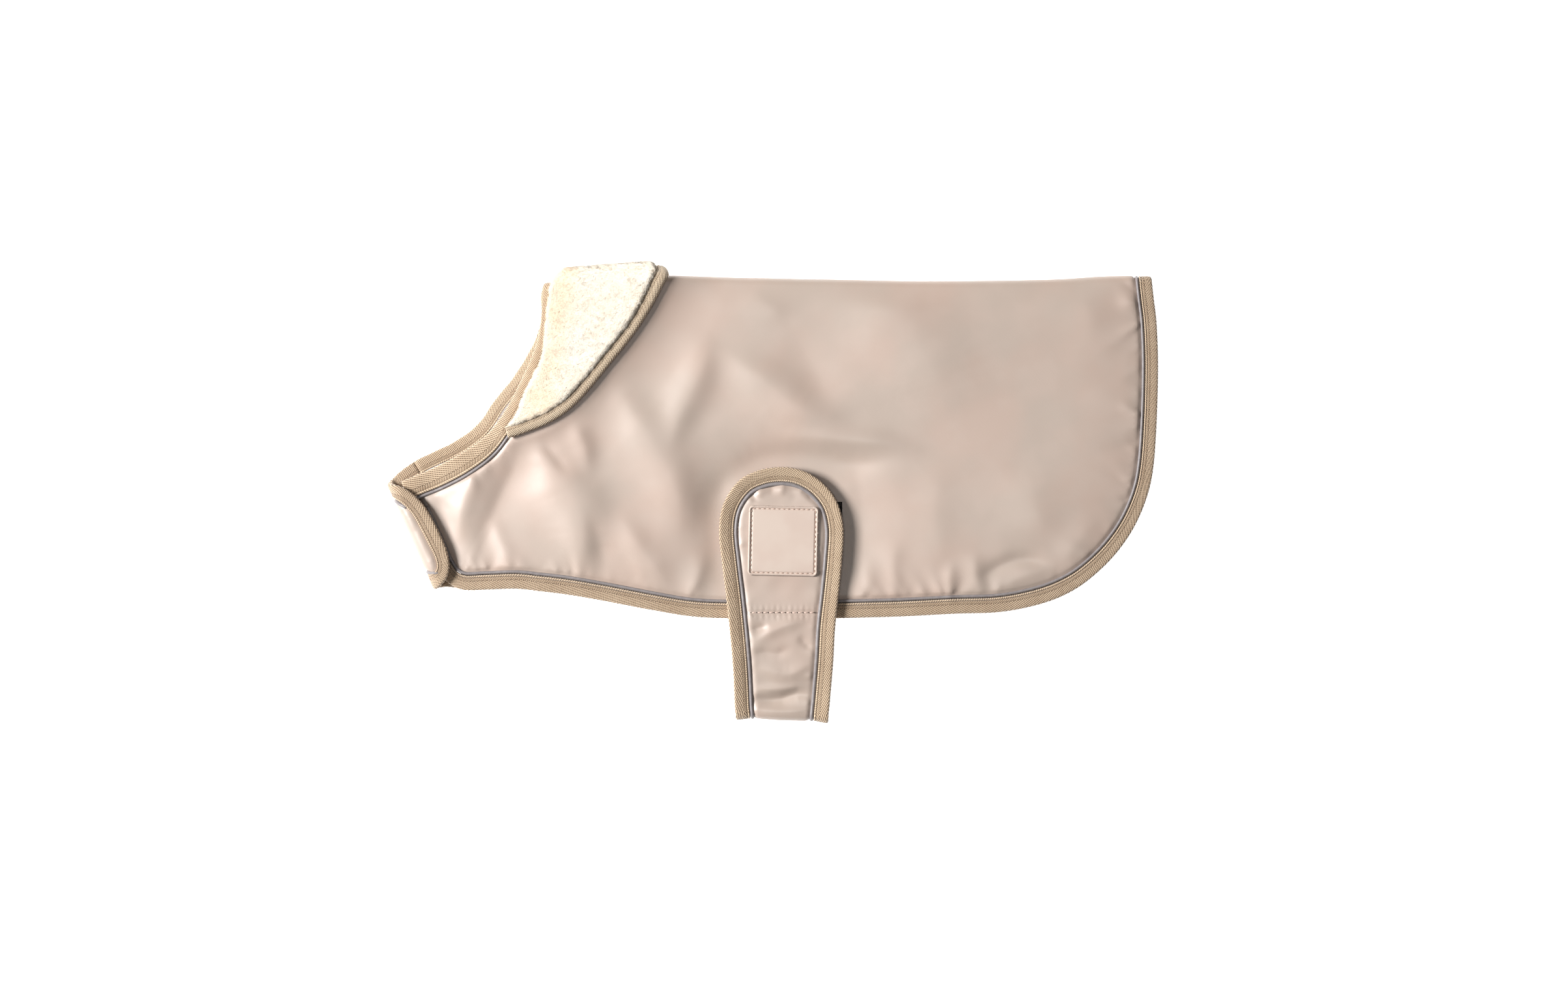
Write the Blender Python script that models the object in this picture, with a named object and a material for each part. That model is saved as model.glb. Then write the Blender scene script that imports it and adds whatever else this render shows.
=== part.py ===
import math
from collections import namedtuple

import bmesh
import bpy

for thing in list(bpy.data.objects):
    bpy.data.objects.remove(thing, do_unlink=True)

# All sizes are in millimetres and turned into metres once, in body().
# The coat is folded in half along the spine and lies flat: near half up, far half down.
# x runs from chest to tail, y towards the spine and z up, from the middle of its footprint.
MM = 0.001

WALL = 3.0  # lined cloth
LAYER_GAP = 2.0  # air between the two halves
SEAM = 0.3  # clearance between sewn pieces
TAPE_PROUD = 0.3  # folded tape stands this far off the cloth, on each side
PIPING_WIDTH = 1.9
PIPING_PROUD = 0.25
FAR_INSET = 1.2  # the far hem hides this far inside the near hem

FUR = 5.0  # pressed pile of the collar
FUR_PUFF = 1.6  # the near half of the collar is looser by this much
FUR_EDGE = 0.35  # share of the pile's height left at its edges
FUR_ROUND = 4.0  # from its edges to its full height
COLLAR_TAPE_THICK = 4.0
COLLAR_CLEAR = 0.5  # over the spine, round the folded coat
COLLAR_ROOM = 0.7  # clearance of the collar on the cloth
COLLAR_MARGIN = 3.0  # the cloth is still at full height this far outside the collar
COLLAR_FALL = 30.0  # the cloth comes down from the far collar over this length

FLAP_START = (-221.1, 3.4)  # upper end of the chest fold
FLAP_END = (-194.1, -57.1)  # lower end of the chest fold
FLAP_CLEAR = 0.8  # under the flap, over the near half
FLAP_SEAM = 12.0  # the flap's seam on the far half, in from the chest fold

STRAP_CLEAR = 0.5
STRAP_RISE_FROM = -124.0
STRAP_RISE_TO = -84.0
HOOK_THICK = 1.2
HOOK_EDGE = 0.5
HOOK_RISE_FROM = -58.0
HOOK_RISE_TO = -40.0

LABEL_SIDE = 40.0
LABEL_ROUND = 2.6
LABEL_RIM = 1.7
LABEL_RIM_HIGH = 1.5
LABEL_FIELD_HIGH = 1.1
LABEL_TURN = math.radians(-1.2)
LABEL_MIDDLE = (5.9, -28.4)

NEAR = 1
FAR = -1

Spot = namedtuple("Spot", "x y")
Rim = namedtuple("Rim", "x y tape")
Ridge = namedtuple("Ridge", "start bend end spread rise")
Patch = namedtuple("Patch", "left right low high")
Station = namedtuple("Station", "w u tape nw nu")

# The crease along the spine, from neck to tail
SPINE = (
    Spot(-135.0, 118.9), Spot(-100.0, 121.4), Spot(-60.0, 123.6), Spot(-10.0, 122.7),
    Spot(42.0, 121.7), Spot(87.0, 120.9), Spot(155.0, 121.7), Spot(192.0, 123.7),
    Spot(222.0, 123.2),
)

# The roll of the collar over the spine
COLLAR_ROLL = (
    Spot(-140.0, 128.6), Spot(-119.0, 128.8), Spot(-106.0, 129.8), Spot(-87.0, 131.2),
    Spot(-71.0, 132.2), Spot(-62.0, 130.0), Spot(-50.0, 129.6),
)

# The strap's fold at the bottom
STRAP_FOLD = (
    Spot(-40.0, -129.6), Spot(-20.0, -130.0), Spot(4.0, -131.3), Spot(34.0, -131.9), Spot(50.0, -131.9),
)

# The neck opening, from the spine down to the chest
NEAR_NECK = (
    Rim(-132.8, 112.0, 7.4), Rim(-132.6, 101.4, 7.4), Rim(-133.9, 91.0, 7.4),
    Rim(-137.7, 78.0, 7.5), Rim(-144.0, 64.1, 7.6), Rim(-151.6, 49.3, 8.0),
    Rim(-159.4, 37.8, 9.0), Rim(-168.5, 28.9, 10.6), Rim(-180.9, 20.8, 11.4),
    Rim(-193.4, 14.2, 11.4), Rim(-204.5, 9.4, 11.2), Rim(-213.4, 5.7, 11.0),
)
FAR_NECK = (
    Rim(-132.8, 112.0, 7.4), Rim(-132.9, 101.4, 7.4), Rim(-134.6, 92.0, 7.4),
    Rim(-139.9, 80.4, 7.5), Rim(-149.3, 65.4, 7.5), Rim(-160.0, 52.4, 7.6),
    Rim(-167.3, 41.5, 7.8), Rim(-175.3, 33.9, 8.0), Rim(-186.0, 27.2, 8.0),
    Rim(-199.6, 20.8, 8.0),
)

# The near half's hidden end under the flap, then its hem, then the tail up to the spine
NEAR_END = (
    Rim(-206.8, -12.2, 8.0), Rim(-202.4, -21.8, 8.0), Rim(-196.4, -35.4, 8.0), Rim(-192.2, -44.6, 8.0),
)
HEM = (
    Rim(-186.6, -52.4, 8.3), Rim(-177.5, -56.6, 8.4), Rim(-163.0, -56.4, 8.5),
    Rim(-145.0, -56.1, 8.6), Rim(-125.0, -58.4, 8.6), Rim(-100.0, -62.4, 8.6),
    Rim(-70.0, -68.1, 8.6), Rim(-45.0, -72.0, 8.6), Rim(-15.0, -73.0, 8.6),
    Rim(25.0, -73.0, 8.6), Rim(60.0, -72.3, 8.6), Rim(102.0, -70.4, 8.6),
    Rim(128.0, -69.5, 8.6), Rim(147.4, -66.3, 8.6), Rim(165.0, -60.6, 8.6),
    Rim(180.0, -51.8, 8.4), Rim(194.6, -38.4, 8.0), Rim(206.2, -22.6, 7.6),
    Rim(214.2, -4.8, 7.3), Rim(218.3, 13.0, 7.3), Rim(220.3, 40.0, 7.3),
    Rim(221.1, 72.0, 7.3), Rim(220.3, 96.0, 7.3), Rim(218.6, 111.0, 7.3),
)
TAIL_CREASE_X = 217.4
NECK_CREASE_X = -131.4

# The collar's outer edge from the spine down, and its edge at the neck tape
COLLAR_EDGE = (
    Rim(-59.8, 124.0, 7.0), Rim(-62.9, 117.0, 7.0), Rim(-70.0, 103.6, 7.0), Rim(-79.2, 89.7, 7.0),
    Rim(-93.0, 72.4, 7.0), Rim(-106.8, 55.8, 7.0), Rim(-117.0, 45.9, 7.0), Rim(-128.3, 38.8, 7.0),
    Rim(-140.0, 34.0, 7.0), Rim(-151.0, 30.3, 7.0),
)
COLLAR_NECK = (
    Rim(-127.6, 119.4, 7.0), Rim(-129.6, 109.3, 7.0), Rim(-130.9, 96.0, 7.0), Rim(-132.6, 80.0, 7.0),
    Rim(-136.5, 68.5, 7.0), Rim(-142.4, 57.0, 7.0), Rim(-146.4, 45.2, 7.0), Rim(-151.4, 37.6, 7.0),
)
COLLAR_EDGE_CREASE = Rim(-60.6, 0.0, 7.0)  # where the collar's edges cross its roll
COLLAR_NECK_CREASE = Rim(-119.6, 0.0, 7.0)

# The chest flap's edge on its pattern, x along the chest fold and y past it, from top to bottom
FLAP_EDGE = (
    Rim(-2.6, -4.5, 7.7), Rim(-1.0, 0.0, 7.6), Rim(0.7, 4.0, 7.6), Rim(3.6, 8.0, 7.7),
    Rim(8.4, 11.6, 7.8), Rim(14.4, 14.4, 8.2), Rim(21.4, 16.4, 8.4), Rim(31.0, 17.4, 8.6),
    Rim(40.9, 17.7, 8.4), Rim(48.2, 17.4, 7.8), Rim(54.6, 16.0, 7.2), Rim(59.2, 13.8, 7.2),
    Rim(62.8, 10.4, 7.8), Rim(64.9, 6.2, 8.8), Rim(65.6, 1.6, 9.8), Rim(65.6, -3.0, 9.6),
)
# Its edges on the far half, in line with the far neck and the far hem
FLAP_TOP = (Rim(-206.4, 17.2, 8.0), Rim(-211.4, 13.9, 7.9), Rim(-215.6, 10.6, 7.8))
FLAP_LOW = (Rim(-187.6, -54.9, 7.2), Rim(-183.2, -55.4, 7.8), Rim(-177.9, -55.4, 8.3))
# How far past the fold, on its pattern, the edge has piping inside it
FLAP_TOP_PIPED = 12.0
FLAP_LOW_PIPED = 7.0

# The strap's left edge, round end and right edge, on top, all from bottom to bottom
STRAP_EDGE = (
    Rim(-22.0, -122.6, 8.4), Rim(-22.7, -106.0, 8.4), Rim(-24.0, -88.0, 8.4),
    Rim(-26.6, -62.0, 8.4), Rim(-29.0, -42.0, 8.4), Rim(-30.8, -22.0, 8.4),
    Rim(-28.0, -6.4, 8.4), Rim(-19.4, 6.2, 8.4), Rim(-7.9, 12.2, 8.4),
    Rim(5.1, 14.0, 8.4), Rim(17.4, 11.8, 8.4), Rim(28.4, 5.0, 8.4),
    Rim(36.8, -6.0, 8.4), Rim(40.4, -20.4, 8.4), Rim(39.8, -38.0, 8.4),
    Rim(37.9, -58.0, 8.4), Rim(35.7, -78.0, 8.4), Rim(34.6, -98.0, 8.4),
    Rim(32.8, -120.0, 8.4),
)
# Its edges underneath, from the far hem down and back up to it
STRAP_UNDER_LEFT = (Rim(-23.8, -73.0, 8.4), Rim(-22.8, -96.0, 8.4), Rim(-21.8, -118.0, 8.4))
STRAP_UNDER_RIGHT = (Rim(32.4, -118.0, 8.4), Rim(33.8, -96.0, 8.4), Rim(35.4, -73.0, 8.4))
STRAP_LEFT_CREASE = Rim(-21.4, 0.0, 8.4)
STRAP_RIGHT_CREASE = Rim(31.8, 0.0, 8.4)

HOOK = Patch(-20.0, 39.8, -34.0, -6.0)

PILLOW_RISE = 2.4  # the near half stands this far up between its spine and its hem
PILLOW_FROM_SPINE = 26.0
PILLOW_FROM_HEM = 42.0
PILLOW_FROM_PIECES = 36.0
HEM_TAPE = 9.0
CALM_FROM = 3.0  # folds start this far from a piece that presses on the cloth
CALM_REACH = 18.0  # and are back at full height this far from it
FOLD_TURN = 18.0  # and this far from the spine's crease, on the pattern
FOLD_GROWN = 0.4  # a fold has its full height from this share of its length
FOLD_DYING = 0.6  # to this share
HIGHEST_FOLD = 6.0
DEEPEST_FOLD = 1.5

# The largest folds of the near half, each swelling from nothing to its bend and dying out again
FOLDS = (
    Ridge((-93.0, 64.0), (-62.0, 16.0), (-54.0, -34.0), 13.0, 3.2),
    Ridge((-34.0, 90.0), (-49.0, 53.0), (-60.0, 20.0), 11.0, 2.8),
    Ridge((-36.0, 84.0), (3.0, 57.0), (48.0, 34.0), 13.0, 2.6),
    Ridge((6.0, 96.0), (26.0, 72.0), (36.0, 42.0), 9.5, -1.2),
    Ridge((90.0, 20.0), (28.0, 31.0), (-6.0, 34.0), 8.0, 1.2),
    Ridge((-145.0, 38.0), (-118.0, 3.0), (-112.0, -48.0), 15.0, 3.4),
    Ridge((-122.0, 44.0), (-112.0, 28.0), (-108.0, 8.0), 7.0, 1.4),
    Ridge((-152.0, 32.0), (-171.0, 2.0), (-184.0, -26.0), 8.0, 2.5),
    Ridge((-150.0, 28.0), (-160.0, 4.0), (-168.0, -30.0), 6.5, -1.3),
    Ridge((-163.0, -14.0), (-155.0, -31.0), (-148.0, -50.0), 6.5, 1.6),
    Ridge((-90.0, -8.0), (-74.0, -35.0), (-54.0, -62.0), 9.0, 2.2),
    Ridge((22.0, 125.0), (93.0, 88.0), (88.0, 38.0), 28.0, 2.4),
    Ridge((97.0, 20.0), (94.0, -16.0), (99.0, -56.0), 13.0, 1.3),
    Ridge((146.0, 18.0), (150.0, -8.0), (154.0, -34.0), 17.0, 1.4),
    Ridge((115.0, -53.0), (138.0, -41.0), (163.0, -44.0), 5.0, -1.3),
)
# The hollows beside the strap's end, the strap's two sides and the flap
HOLLOWS = (
    Ridge((-33.0, -3.0), (8.0, 18.0), (73.0, 16.0), 12.0, -2.4),
    Ridge((52.0, 30.0), (66.0, -14.0), (62.0, -66.0), 19.0, -2.6),
    Ridge((-24.0, 20.0), (-29.0, -14.0), (-26.0, -68.0), 12.0, -2.0),
    Ridge((-196.0, 16.0), (-180.0, -18.0), (-168.0, -56.0), 12.0, -2.4),
)


def ease(value, start, stop):
    share = (value - start) / (stop - start)
    share = min(1.0, max(0.0, share))
    return share * share * (3 - 2 * share)


def spline(rows, step):
    """Points every step along a smooth curve through the rows, whatever their columns."""
    columns = range(len(rows[0]))
    found = []
    for i in range(len(rows) - 1):
        b = rows[i]
        c = rows[i + 1]
        a = rows[i - 1] if i > 0 else [2 * b[k] - c[k] for k in columns]
        d = rows[i + 2] if i + 2 < len(rows) else [2 * c[k] - b[k] for k in columns]
        pieces = max(1, math.ceil(math.dist(b[:2], c[:2]) / step))
        for j in range(pieces):
            t = j / pieces
            found.append(tuple(blend(a[k], b[k], c[k], d[k], t) for k in columns))
    found.append(tuple(rows[-1]))
    return found


def blend(a, b, c, d, t):
    """Catmull-Rom value between b and c."""
    slope = (c - a) / 2
    end_slope = (d - b) / 2
    square = t * t
    cube = square * t
    return (
        (2 * cube - 3 * square + 1) * b
        + (cube - 2 * square + t) * slope
        + (3 * square - 2 * cube) * c
        + (cube - square) * end_slope
    )


def height_of(rows):
    """The y of a smooth line through the rows, as a function of x."""
    line = spline(rows, 4.0)

    def height(x):
        for left, right in zip(line, line[1:]):
            if x <= right[0]:
                break
        share = (x - left[0]) / (right[0] - left[0])
        return left[1] + share * (right[1] - left[1])

    return height


def thinned(points, step_at):
    """The points left when they are taken about step_at apart, ends kept."""
    kept = [points[0]]
    since = 0.0
    for before, after in zip(points, points[1:]):
        since += math.dist(before[:2], after[:2])
        if since >= step_at(after):
            kept.append(after)
            since = 0.0
    if kept[-1] == points[-1]:
        return kept
    if since < step_at(points[-1]) / 2 and len(kept) > 2:
        kept.pop()
    kept.append(points[-1])
    return kept


def gap_to_segment(x, y, a, b):
    run = (b[0] - a[0], b[1] - a[1])
    square = run[0] ** 2 + run[1] ** 2
    share = ((x - a[0]) * run[0] + (y - a[1]) * run[1]) / square if square else 0.0
    share = min(1.0, max(0.0, share))
    return math.hypot(x - a[0] - share * run[0], y - a[1] - share * run[1]), share


def inside(x, y, loop):
    within = False
    for a, b in zip(loop, loop[1:] + loop[:1]):
        if (a[1] > y) != (b[1] > y):
            if x < a[0] + (y - a[1]) / (b[1] - a[1]) * (b[0] - a[0]):
                within = not within
    return within


def gap_to_loop(x, y, loop):
    """How far outside the loop a point lies, 0 within it."""
    if inside(x, y, loop):
        return 0.0
    return edge_gap(x, y, loop)


def edge_gap(x, y, loop):
    return min(gap_to_segment(x, y, a, b)[0] for a, b in zip(loop, loop[1:] + loop[:1]))


# Where the collar, strap and flap press on the near half
AREA_STEP = 12.0
BELOW_STRAP = -140.0
COLLAR_AREA = [*spline(COLLAR_EDGE, AREA_STEP), *reversed(spline(COLLAR_NECK, AREA_STEP))]
STRAP_AREA = [Spot(-22.0, BELOW_STRAP), *spline(STRAP_EDGE, AREA_STEP), Spot(33.0, BELOW_STRAP)]
FLAP_AREA = [
    Spot(-224.0, 8.0), Spot(-204.0, 2.0), Spot(-187.0, -50.0), Spot(-184.0, -62.0), Spot(-200.0, -64.0),
]


def rounded(gap, reach):
    """0 to 1, steepest at the start."""
    return 1 - (1 - min(1.0, max(0.0, gap / reach))) ** 2


def collar_lift(x, y):
    """How far the far collar, lying underneath, lifts both halves of the coat."""
    outside = gap_to_loop(x, y, COLLAR_AREA)
    return (FUR + COLLAR_ROOM) * (1 - rounded(outside - COLLAR_MARGIN, COLLAR_FALL))


def calm(x, y, reach):
    """0 under the strap, flap and collar, where the cloth is pressed flat, and 1 away from them."""
    closest = min(gap_to_loop(x, y, area) for area in (STRAP_AREA, FLAP_AREA, COLLAR_AREA))
    return ease(closest, CALM_FROM, reach)


def gap_to_path(x, y, path):
    """How far a point is from a path, and the share of the path before its nearest point."""
    best = None
    for i, (a, b) in enumerate(zip(path, path[1:])):
        gap, share = gap_to_segment(x, y, a, b)
        if best is None or gap < best[0]:
            best = (gap, (i + share) / (len(path) - 1))
    return best


FOLD_STEP = 12.0
FOLD_PATHS = {fold: spline([fold.start, fold.bend, fold.end], FOLD_STEP) for fold in (*FOLDS, *HOLLOWS)}
HEM_PATH = spline(HEM, AREA_STEP)


def fold_height(x, y, folds):
    total = 0.0
    for fold in folds:
        gap, share = gap_to_path(x, y, FOLD_PATHS[fold])
        swell = ease(share, 0.0, FOLD_GROWN) * (1 - ease(share, FOLD_DYING, 1.0))
        total += fold.rise * swell * math.exp(-((gap / fold.spread) ** 2))
    return total


def relief(x, y):
    """The near half's folds."""
    total = fold_height(x, y, FOLDS) * calm(x, y, CALM_REACH) + fold_height(x, y, HOLLOWS)
    return max(-DEEPEST_FOLD, min(HIGHEST_FOLD, total))


def pillow(x, y):
    """The near half stands up a little between its edges."""
    from_hem = gap_to_path(x, y, HEM_PATH)[0] - HEM_TAPE
    full = rounded(spine_y(x) - y, PILLOW_FROM_SPINE) * rounded(from_hem, PILLOW_FROM_HEM)
    return PILLOW_RISE * full * calm(x, y, PILLOW_FROM_PIECES)


class Fold:
    """A sheet folded over a crease. w runs along the crease; u across it, + on the near layer."""

    def __init__(self, start, along, inward, crest, radius, wall, lift):
        self.start = start
        self.along = along
        self.inward = inward
        self.crest = crest
        self.radius = radius
        self.outer = radius + wall / 2
        self.wall = wall
        self.turn = radius * math.pi / 2
        self.lift = lift

    def flat(self, x, y, side):
        """Pattern point of a plan point on the near or far layer."""
        dx = x - self.start[0]
        dy = y - self.start[1]
        w = dx * self.along[0] + dy * self.along[1]
        depth = dx * self.inward[0] + dy * self.inward[1] - self.crest(w)
        return w, side * (self.turn + depth - self.outer)

    def place(self, w, u, out):
        """The point that lies out from the sheet's middle at w, u."""
        reach = self.radius + out
        angle = max(-math.pi / 2, min(math.pi / 2, u / self.radius))
        beyond = max(0.0, abs(u) - self.turn)
        depth = self.crest(w) + self.outer - reach * math.cos(angle) + beyond
        x = self.start[0] + self.along[0] * w + self.inward[0] * depth
        y = self.start[1] + self.along[1] * w + self.inward[1] * depth
        z = self.outer + reach * math.sin(angle) + self.lift(x, y, u)
        return x, y, max(z, 0.0)

    def rows(self, rows, side):
        """Table rows turned into pattern points, their later columns kept."""
        return [(*self.flat(row[0], row[1], side), *row[2:]) for row in rows]


COAT_RADIUS = (LAYER_GAP + WALL) / 2
COAT_TOP = 2 * COAT_RADIUS + WALL
spine_y = height_of(SPINE)
roll_y = height_of(COLLAR_ROLL)
strap_fold_y = height_of(STRAP_FOLD)


def coat_lift(x, y, u):
    if u <= 0:
        return collar_lift(x, y)
    turned = ease(u, COAT_RADIUS * math.pi / 2, FOLD_TURN)
    return collar_lift(x, y) + relief(x, y) * turned + pillow(x, y)


def no_lift(x, y, u):
    return 0.0


def strap_lift(x, y, u):
    """The strap's top layer climbs on to the near half, then over the hook patch."""
    if u <= 0:
        return 0.0
    resting = COAT_TOP + 2 * TAPE_PROUD + STRAP_CLEAR + WALL / 2
    climb = resting - (2 * COAT_RADIUS + WALL / 2)
    hook = HOOK_THICK + 2 * SEAM - STRAP_CLEAR
    return climb * ease(y, STRAP_RISE_FROM, STRAP_RISE_TO) + hook * ease(y, HOOK_RISE_FROM, HOOK_RISE_TO)


COLLAR_INNER = COAT_RADIUS + WALL / 2 + TAPE_PROUD + COLLAR_CLEAR
COLLAR_RADIUS = COLLAR_INNER + FUR / 2
COAT = Fold((0.0, 0.0), (1.0, 0.0), (0.0, -1.0), lambda w: -spine_y(w), COAT_RADIUS, WALL, coat_lift)
COLLAR = Fold((0.0, 0.0), (1.0, 0.0), (0.0, -1.0), lambda w: -roll_y(w), COLLAR_RADIUS, FUR, no_lift)
HOOK_LAYER = Fold((0.0, 0.0), (1.0, 0.0), (0.0, -1.0), lambda w: -spine_y(w), COAT_RADIUS, WALL, no_lift)
STRAP = Fold((0.0, 0.0), (1.0, 0.0), (0.0, 1.0), strap_fold_y, COAT_RADIUS, WALL, strap_lift)

FLAP_LENGTH = math.dist(FLAP_START, FLAP_END)
FLAP_ALONG = ((FLAP_END[0] - FLAP_START[0]) / FLAP_LENGTH, (FLAP_END[1] - FLAP_START[1]) / FLAP_LENGTH)
FLAP_IN = (-FLAP_ALONG[1], FLAP_ALONG[0])
FLAP_RADIUS = (COAT_TOP + TAPE_PROUD + FLAP_CLEAR) / 2
FLAP = Fold(FLAP_START, FLAP_ALONG, FLAP_IN, lambda w: 0.0, FLAP_RADIUS, WALL, no_lift)


def material(name, colour, roughness, sheen=0.0):
    made = bpy.data.materials.new(name)
    made.use_nodes = True
    shader = made.node_tree.nodes["Principled BSDF"]
    shader.inputs["Base Color"].default_value = (*colour, 1.0)
    shader.inputs["Roughness"].default_value = roughness
    shader.inputs["Metallic"].default_value = 0.0
    shader.inputs["Sheen Weight"].default_value = sheen
    return made


def body(name, points, faces, look):
    """One closed solid from points in millimetres."""
    mesh = bpy.data.meshes.new(name)
    mesh.from_pydata([(x * MM, y * MM, z * MM) for x, y, z in points], [], faces)
    shape = bmesh.new()
    shape.from_mesh(mesh)
    bmesh.ops.recalc_face_normals(shape, faces=shape.faces)
    shape.to_mesh(mesh)
    shape.free()
    mesh.materials.append(look)
    made = bpy.data.objects.new(name, mesh)
    bpy.context.scene.collection.objects.link(made)
    return made


def inward_of(points, side):
    """Unit normals of a path, to its left for side 1 and right for side -1."""
    found = []
    last = len(points) - 1
    for i in range(len(points)):
        a = points[max(0, i - 1)]
        b = points[min(last, i + 1)]
        run = math.dist(a[:2], b[:2])
        found.append((-side * (b[1] - a[1]) / run, side * (b[0] - a[0]) / run))
    return found


def stations_of(path, side, step_at):
    """The stations that tape, piping and cloth share along an edge, so that they stay apart."""
    both = [(*point, *normal) for point, normal in zip(path, inward_of(path, side))]
    return [Station(*row) for row in thinned(both, step_at)]


def shifted(stations, line_at):
    """Pattern points line_at(station) in from the edge."""
    found = []
    for station in stations:
        away = line_at(station)
        found.append((station.w + station.nw * away, station.u + station.nu * away))
    return found


def band(name, fold, stations, section, line_at, width_at, look):
    """A strip along an edge: section rows are (share of the width in from its line, out)."""
    placed = []
    for station in stations:
        for share, out in section:
            away = line_at(station) + width_at(station) * share
            placed.append(fold.place(station.w + station.nw * away, station.u + station.nu * away, out))
    count = len(section)
    faces = [tuple(range(count)), tuple(range(len(placed) - count, len(placed)))]
    for row in range(len(stations) - 1):
        for k in range(count):
            here = row * count + k
            beside = row * count + (k + 1) % count
            faces.append((here, beside, beside + count, here + count))
    return body(name, placed, faces, look)


def tape_section(thick, middle=0.0):
    high = middle + thick / 2
    low = middle - thick / 2
    shy = thick * 0.22
    return (
        (0.0, low + shy), (0.0, high - shy), (0.11, high), (0.89, high),
        (1.0, high - shy), (1.0, low + shy), (0.89, low), (0.11, low),
    )


def cord_section(thick):
    """Six corners of a flattened cord, centred on its line."""
    rows = []
    for k in range(6):
        angle = math.pi * (k + 0.5) / 3
        rows.append((0.5 * math.cos(angle) / math.cos(math.pi / 6), thick / 2 * math.sin(angle)))
    return tuple(rows)


def split(flat, point, normal, keep):
    faces = [face for face in flat.faces if keep(face.calc_center_median())]
    edges = {edge for face in faces for edge in face.edges}
    verts = {vert for face in faces for vert in face.verts}
    geometry = [*faces, *edges, *verts]
    bmesh.ops.bisect_plane(flat, geom=geometry, dist=0.35, plane_co=point, plane_no=normal)


def flat_mesh(outline, cuts, rounding):
    """A flat mesh of the outline, inset step by step, cut by rows of (axis, at, keep)."""
    flat = bmesh.new()
    corners = [flat.verts.new((w, u, 0.0)) for w, u in outline]
    face = flat.faces.new(corners)
    for step in rounding:
        bmesh.ops.inset_region(flat, faces=[face], thickness=step, use_even_offset=True)
    for axis, at, keep in cuts:
        normal = (1, 0, 0) if axis == "w" else (0, 1, 0)
        point = (at, 0, 0) if axis == "w" else (0, at, 0)
        split(flat, point, normal, keep)
    bmesh.ops.triangulate(flat, faces=flat.faces)
    flat.verts.index_update()
    return flat


def sheet(name, fold, outline, cuts, low_at, high_at, look, rounding=()):
    """A wall on the outline; low_at and high_at give its two faces out from the middle."""
    flat = flat_mesh(outline, cuts, rounding)
    spots = [(vert.co.x, vert.co.y) for vert in flat.verts]
    points = [fold.place(w, u, high_at(w, u)) for w, u in spots]
    points += [fold.place(w, u, low_at(w, u)) for w, u in spots]
    under = len(spots)
    faces = [tuple(vert.index for vert in face.verts) for face in flat.faces]
    faces += [tuple(vert.index + under for vert in reversed(face.verts)) for face in flat.faces]
    for edge in flat.edges:
        if edge.is_boundary:
            a, b = (vert.index for vert in edge.verts)
            faces.append((a, b, b + under, a + under))
    flat.free()
    return body(name, points, faces, look)


def crossing(a, b, c, d):
    """Where two segments meet, or None."""
    run = (b[0] - a[0], b[1] - a[1])
    other = (d[0] - c[0], d[1] - c[1])
    turn = run[0] * other[1] - run[1] * other[0]
    if abs(turn) < 1e-12:
        return None
    t = ((c[0] - a[0]) * other[1] - (c[1] - a[1]) * other[0]) / turn
    s = ((c[0] - a[0]) * run[1] - (c[1] - a[1]) * run[0]) / turn
    if 0 <= t <= 1 and 0 <= s <= 1:
        return a[0] + t * run[0], a[1] + t * run[1]
    return None


def joined(first, second):
    """Two paths cut where the end of one crosses the start of the other, as one."""
    for i in range(len(first) - 2, -1, -1):
        for j in range(len(second) - 1):
            met = crossing(first[i], first[i + 1], second[j], second[j + 1])
            if met:
                return [*first[: i + 1], met, *second[j + 1 :]]
    return [*first, *second]


def loop_of(*paths):
    """The closed loop that the paths bound, each cut where it crosses the next."""
    whole = paths[0]
    for path in paths[1:]:
        whole = joined(whole, path)
    half = len(whole) // 2
    for i in range(len(whole) - 1, half, -1):
        for j in range(half):
            met = crossing(whole[i - 1], whole[i], whole[j], whole[j + 1])
            if met:
                return [met, *whole[j + 1 : i]]
    return whole


def stretched(path, length):
    """A path carried straight on past both its ends."""
    return [beyond(path[1], path[0], length), *path, beyond(path[-2], path[-1], length)]


def beyond(before, end, length):
    run = math.dist(before[:2], end[:2])
    return (
        end[0] + (end[0] - before[0]) * length / run,
        end[1] + (end[1] - before[1]) * length / run,
    )


def step_for(fold, near_step, far_step, bend_step=2.0):
    """Spacing of stations on the near layer, the far layer and round the fold."""

    def step(point):
        if abs(point[1]) < fold.turn + 1.0:
            return bend_step
        return near_step if point[1] > 0 else far_step

    return step


def everywhere(centre):
    return True


def grid(low, high, step):
    count = max(1, round((high - low) / step))
    return [low + (high - low) * i / count for i in range(1, count)]


def bend_cuts(fold, count=4):
    """Cuts across the turn of a fold, edges of the turn included."""
    return [("u", fold.turn * (2 * i / count - 1), everywhere) for i in range(count + 1)]


FINE = 0.5  # spacing of a path before it is thinned
RIM_SIDE = -1
NECK_SIDE = 1
COLLAR_SIDE = -1
FLAP_SIDE = -1
STRAP_SIDE = -1
TAPE_THICK = WALL + 2 * TAPE_PROUD
PIPING_THICK = WALL + 2 * PIPING_PROUD
COLLAR_END_U = COAT.flat(-152.0, 36.5, NEAR)[1]

CLOTH = material("satin_cloth", (0.66, 0.54, 0.47), 0.42, 0.3)
TAPE = material("twill_tape", (0.45, 0.32, 0.23), 0.75, 0.2)
GREY = material("grey_piping", (0.30, 0.28, 0.30), 0.45)
PILE = material("cream_pile", (0.97, 0.93, 0.82), 0.95, 0.6)
RUBBER = material("label_rubber", (0.84, 0.72, 0.61), 0.55)
HOOKS = material("black_hooks", (0.015, 0.015, 0.016), 0.8)


def edge_line(station):
    return 0.0


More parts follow.
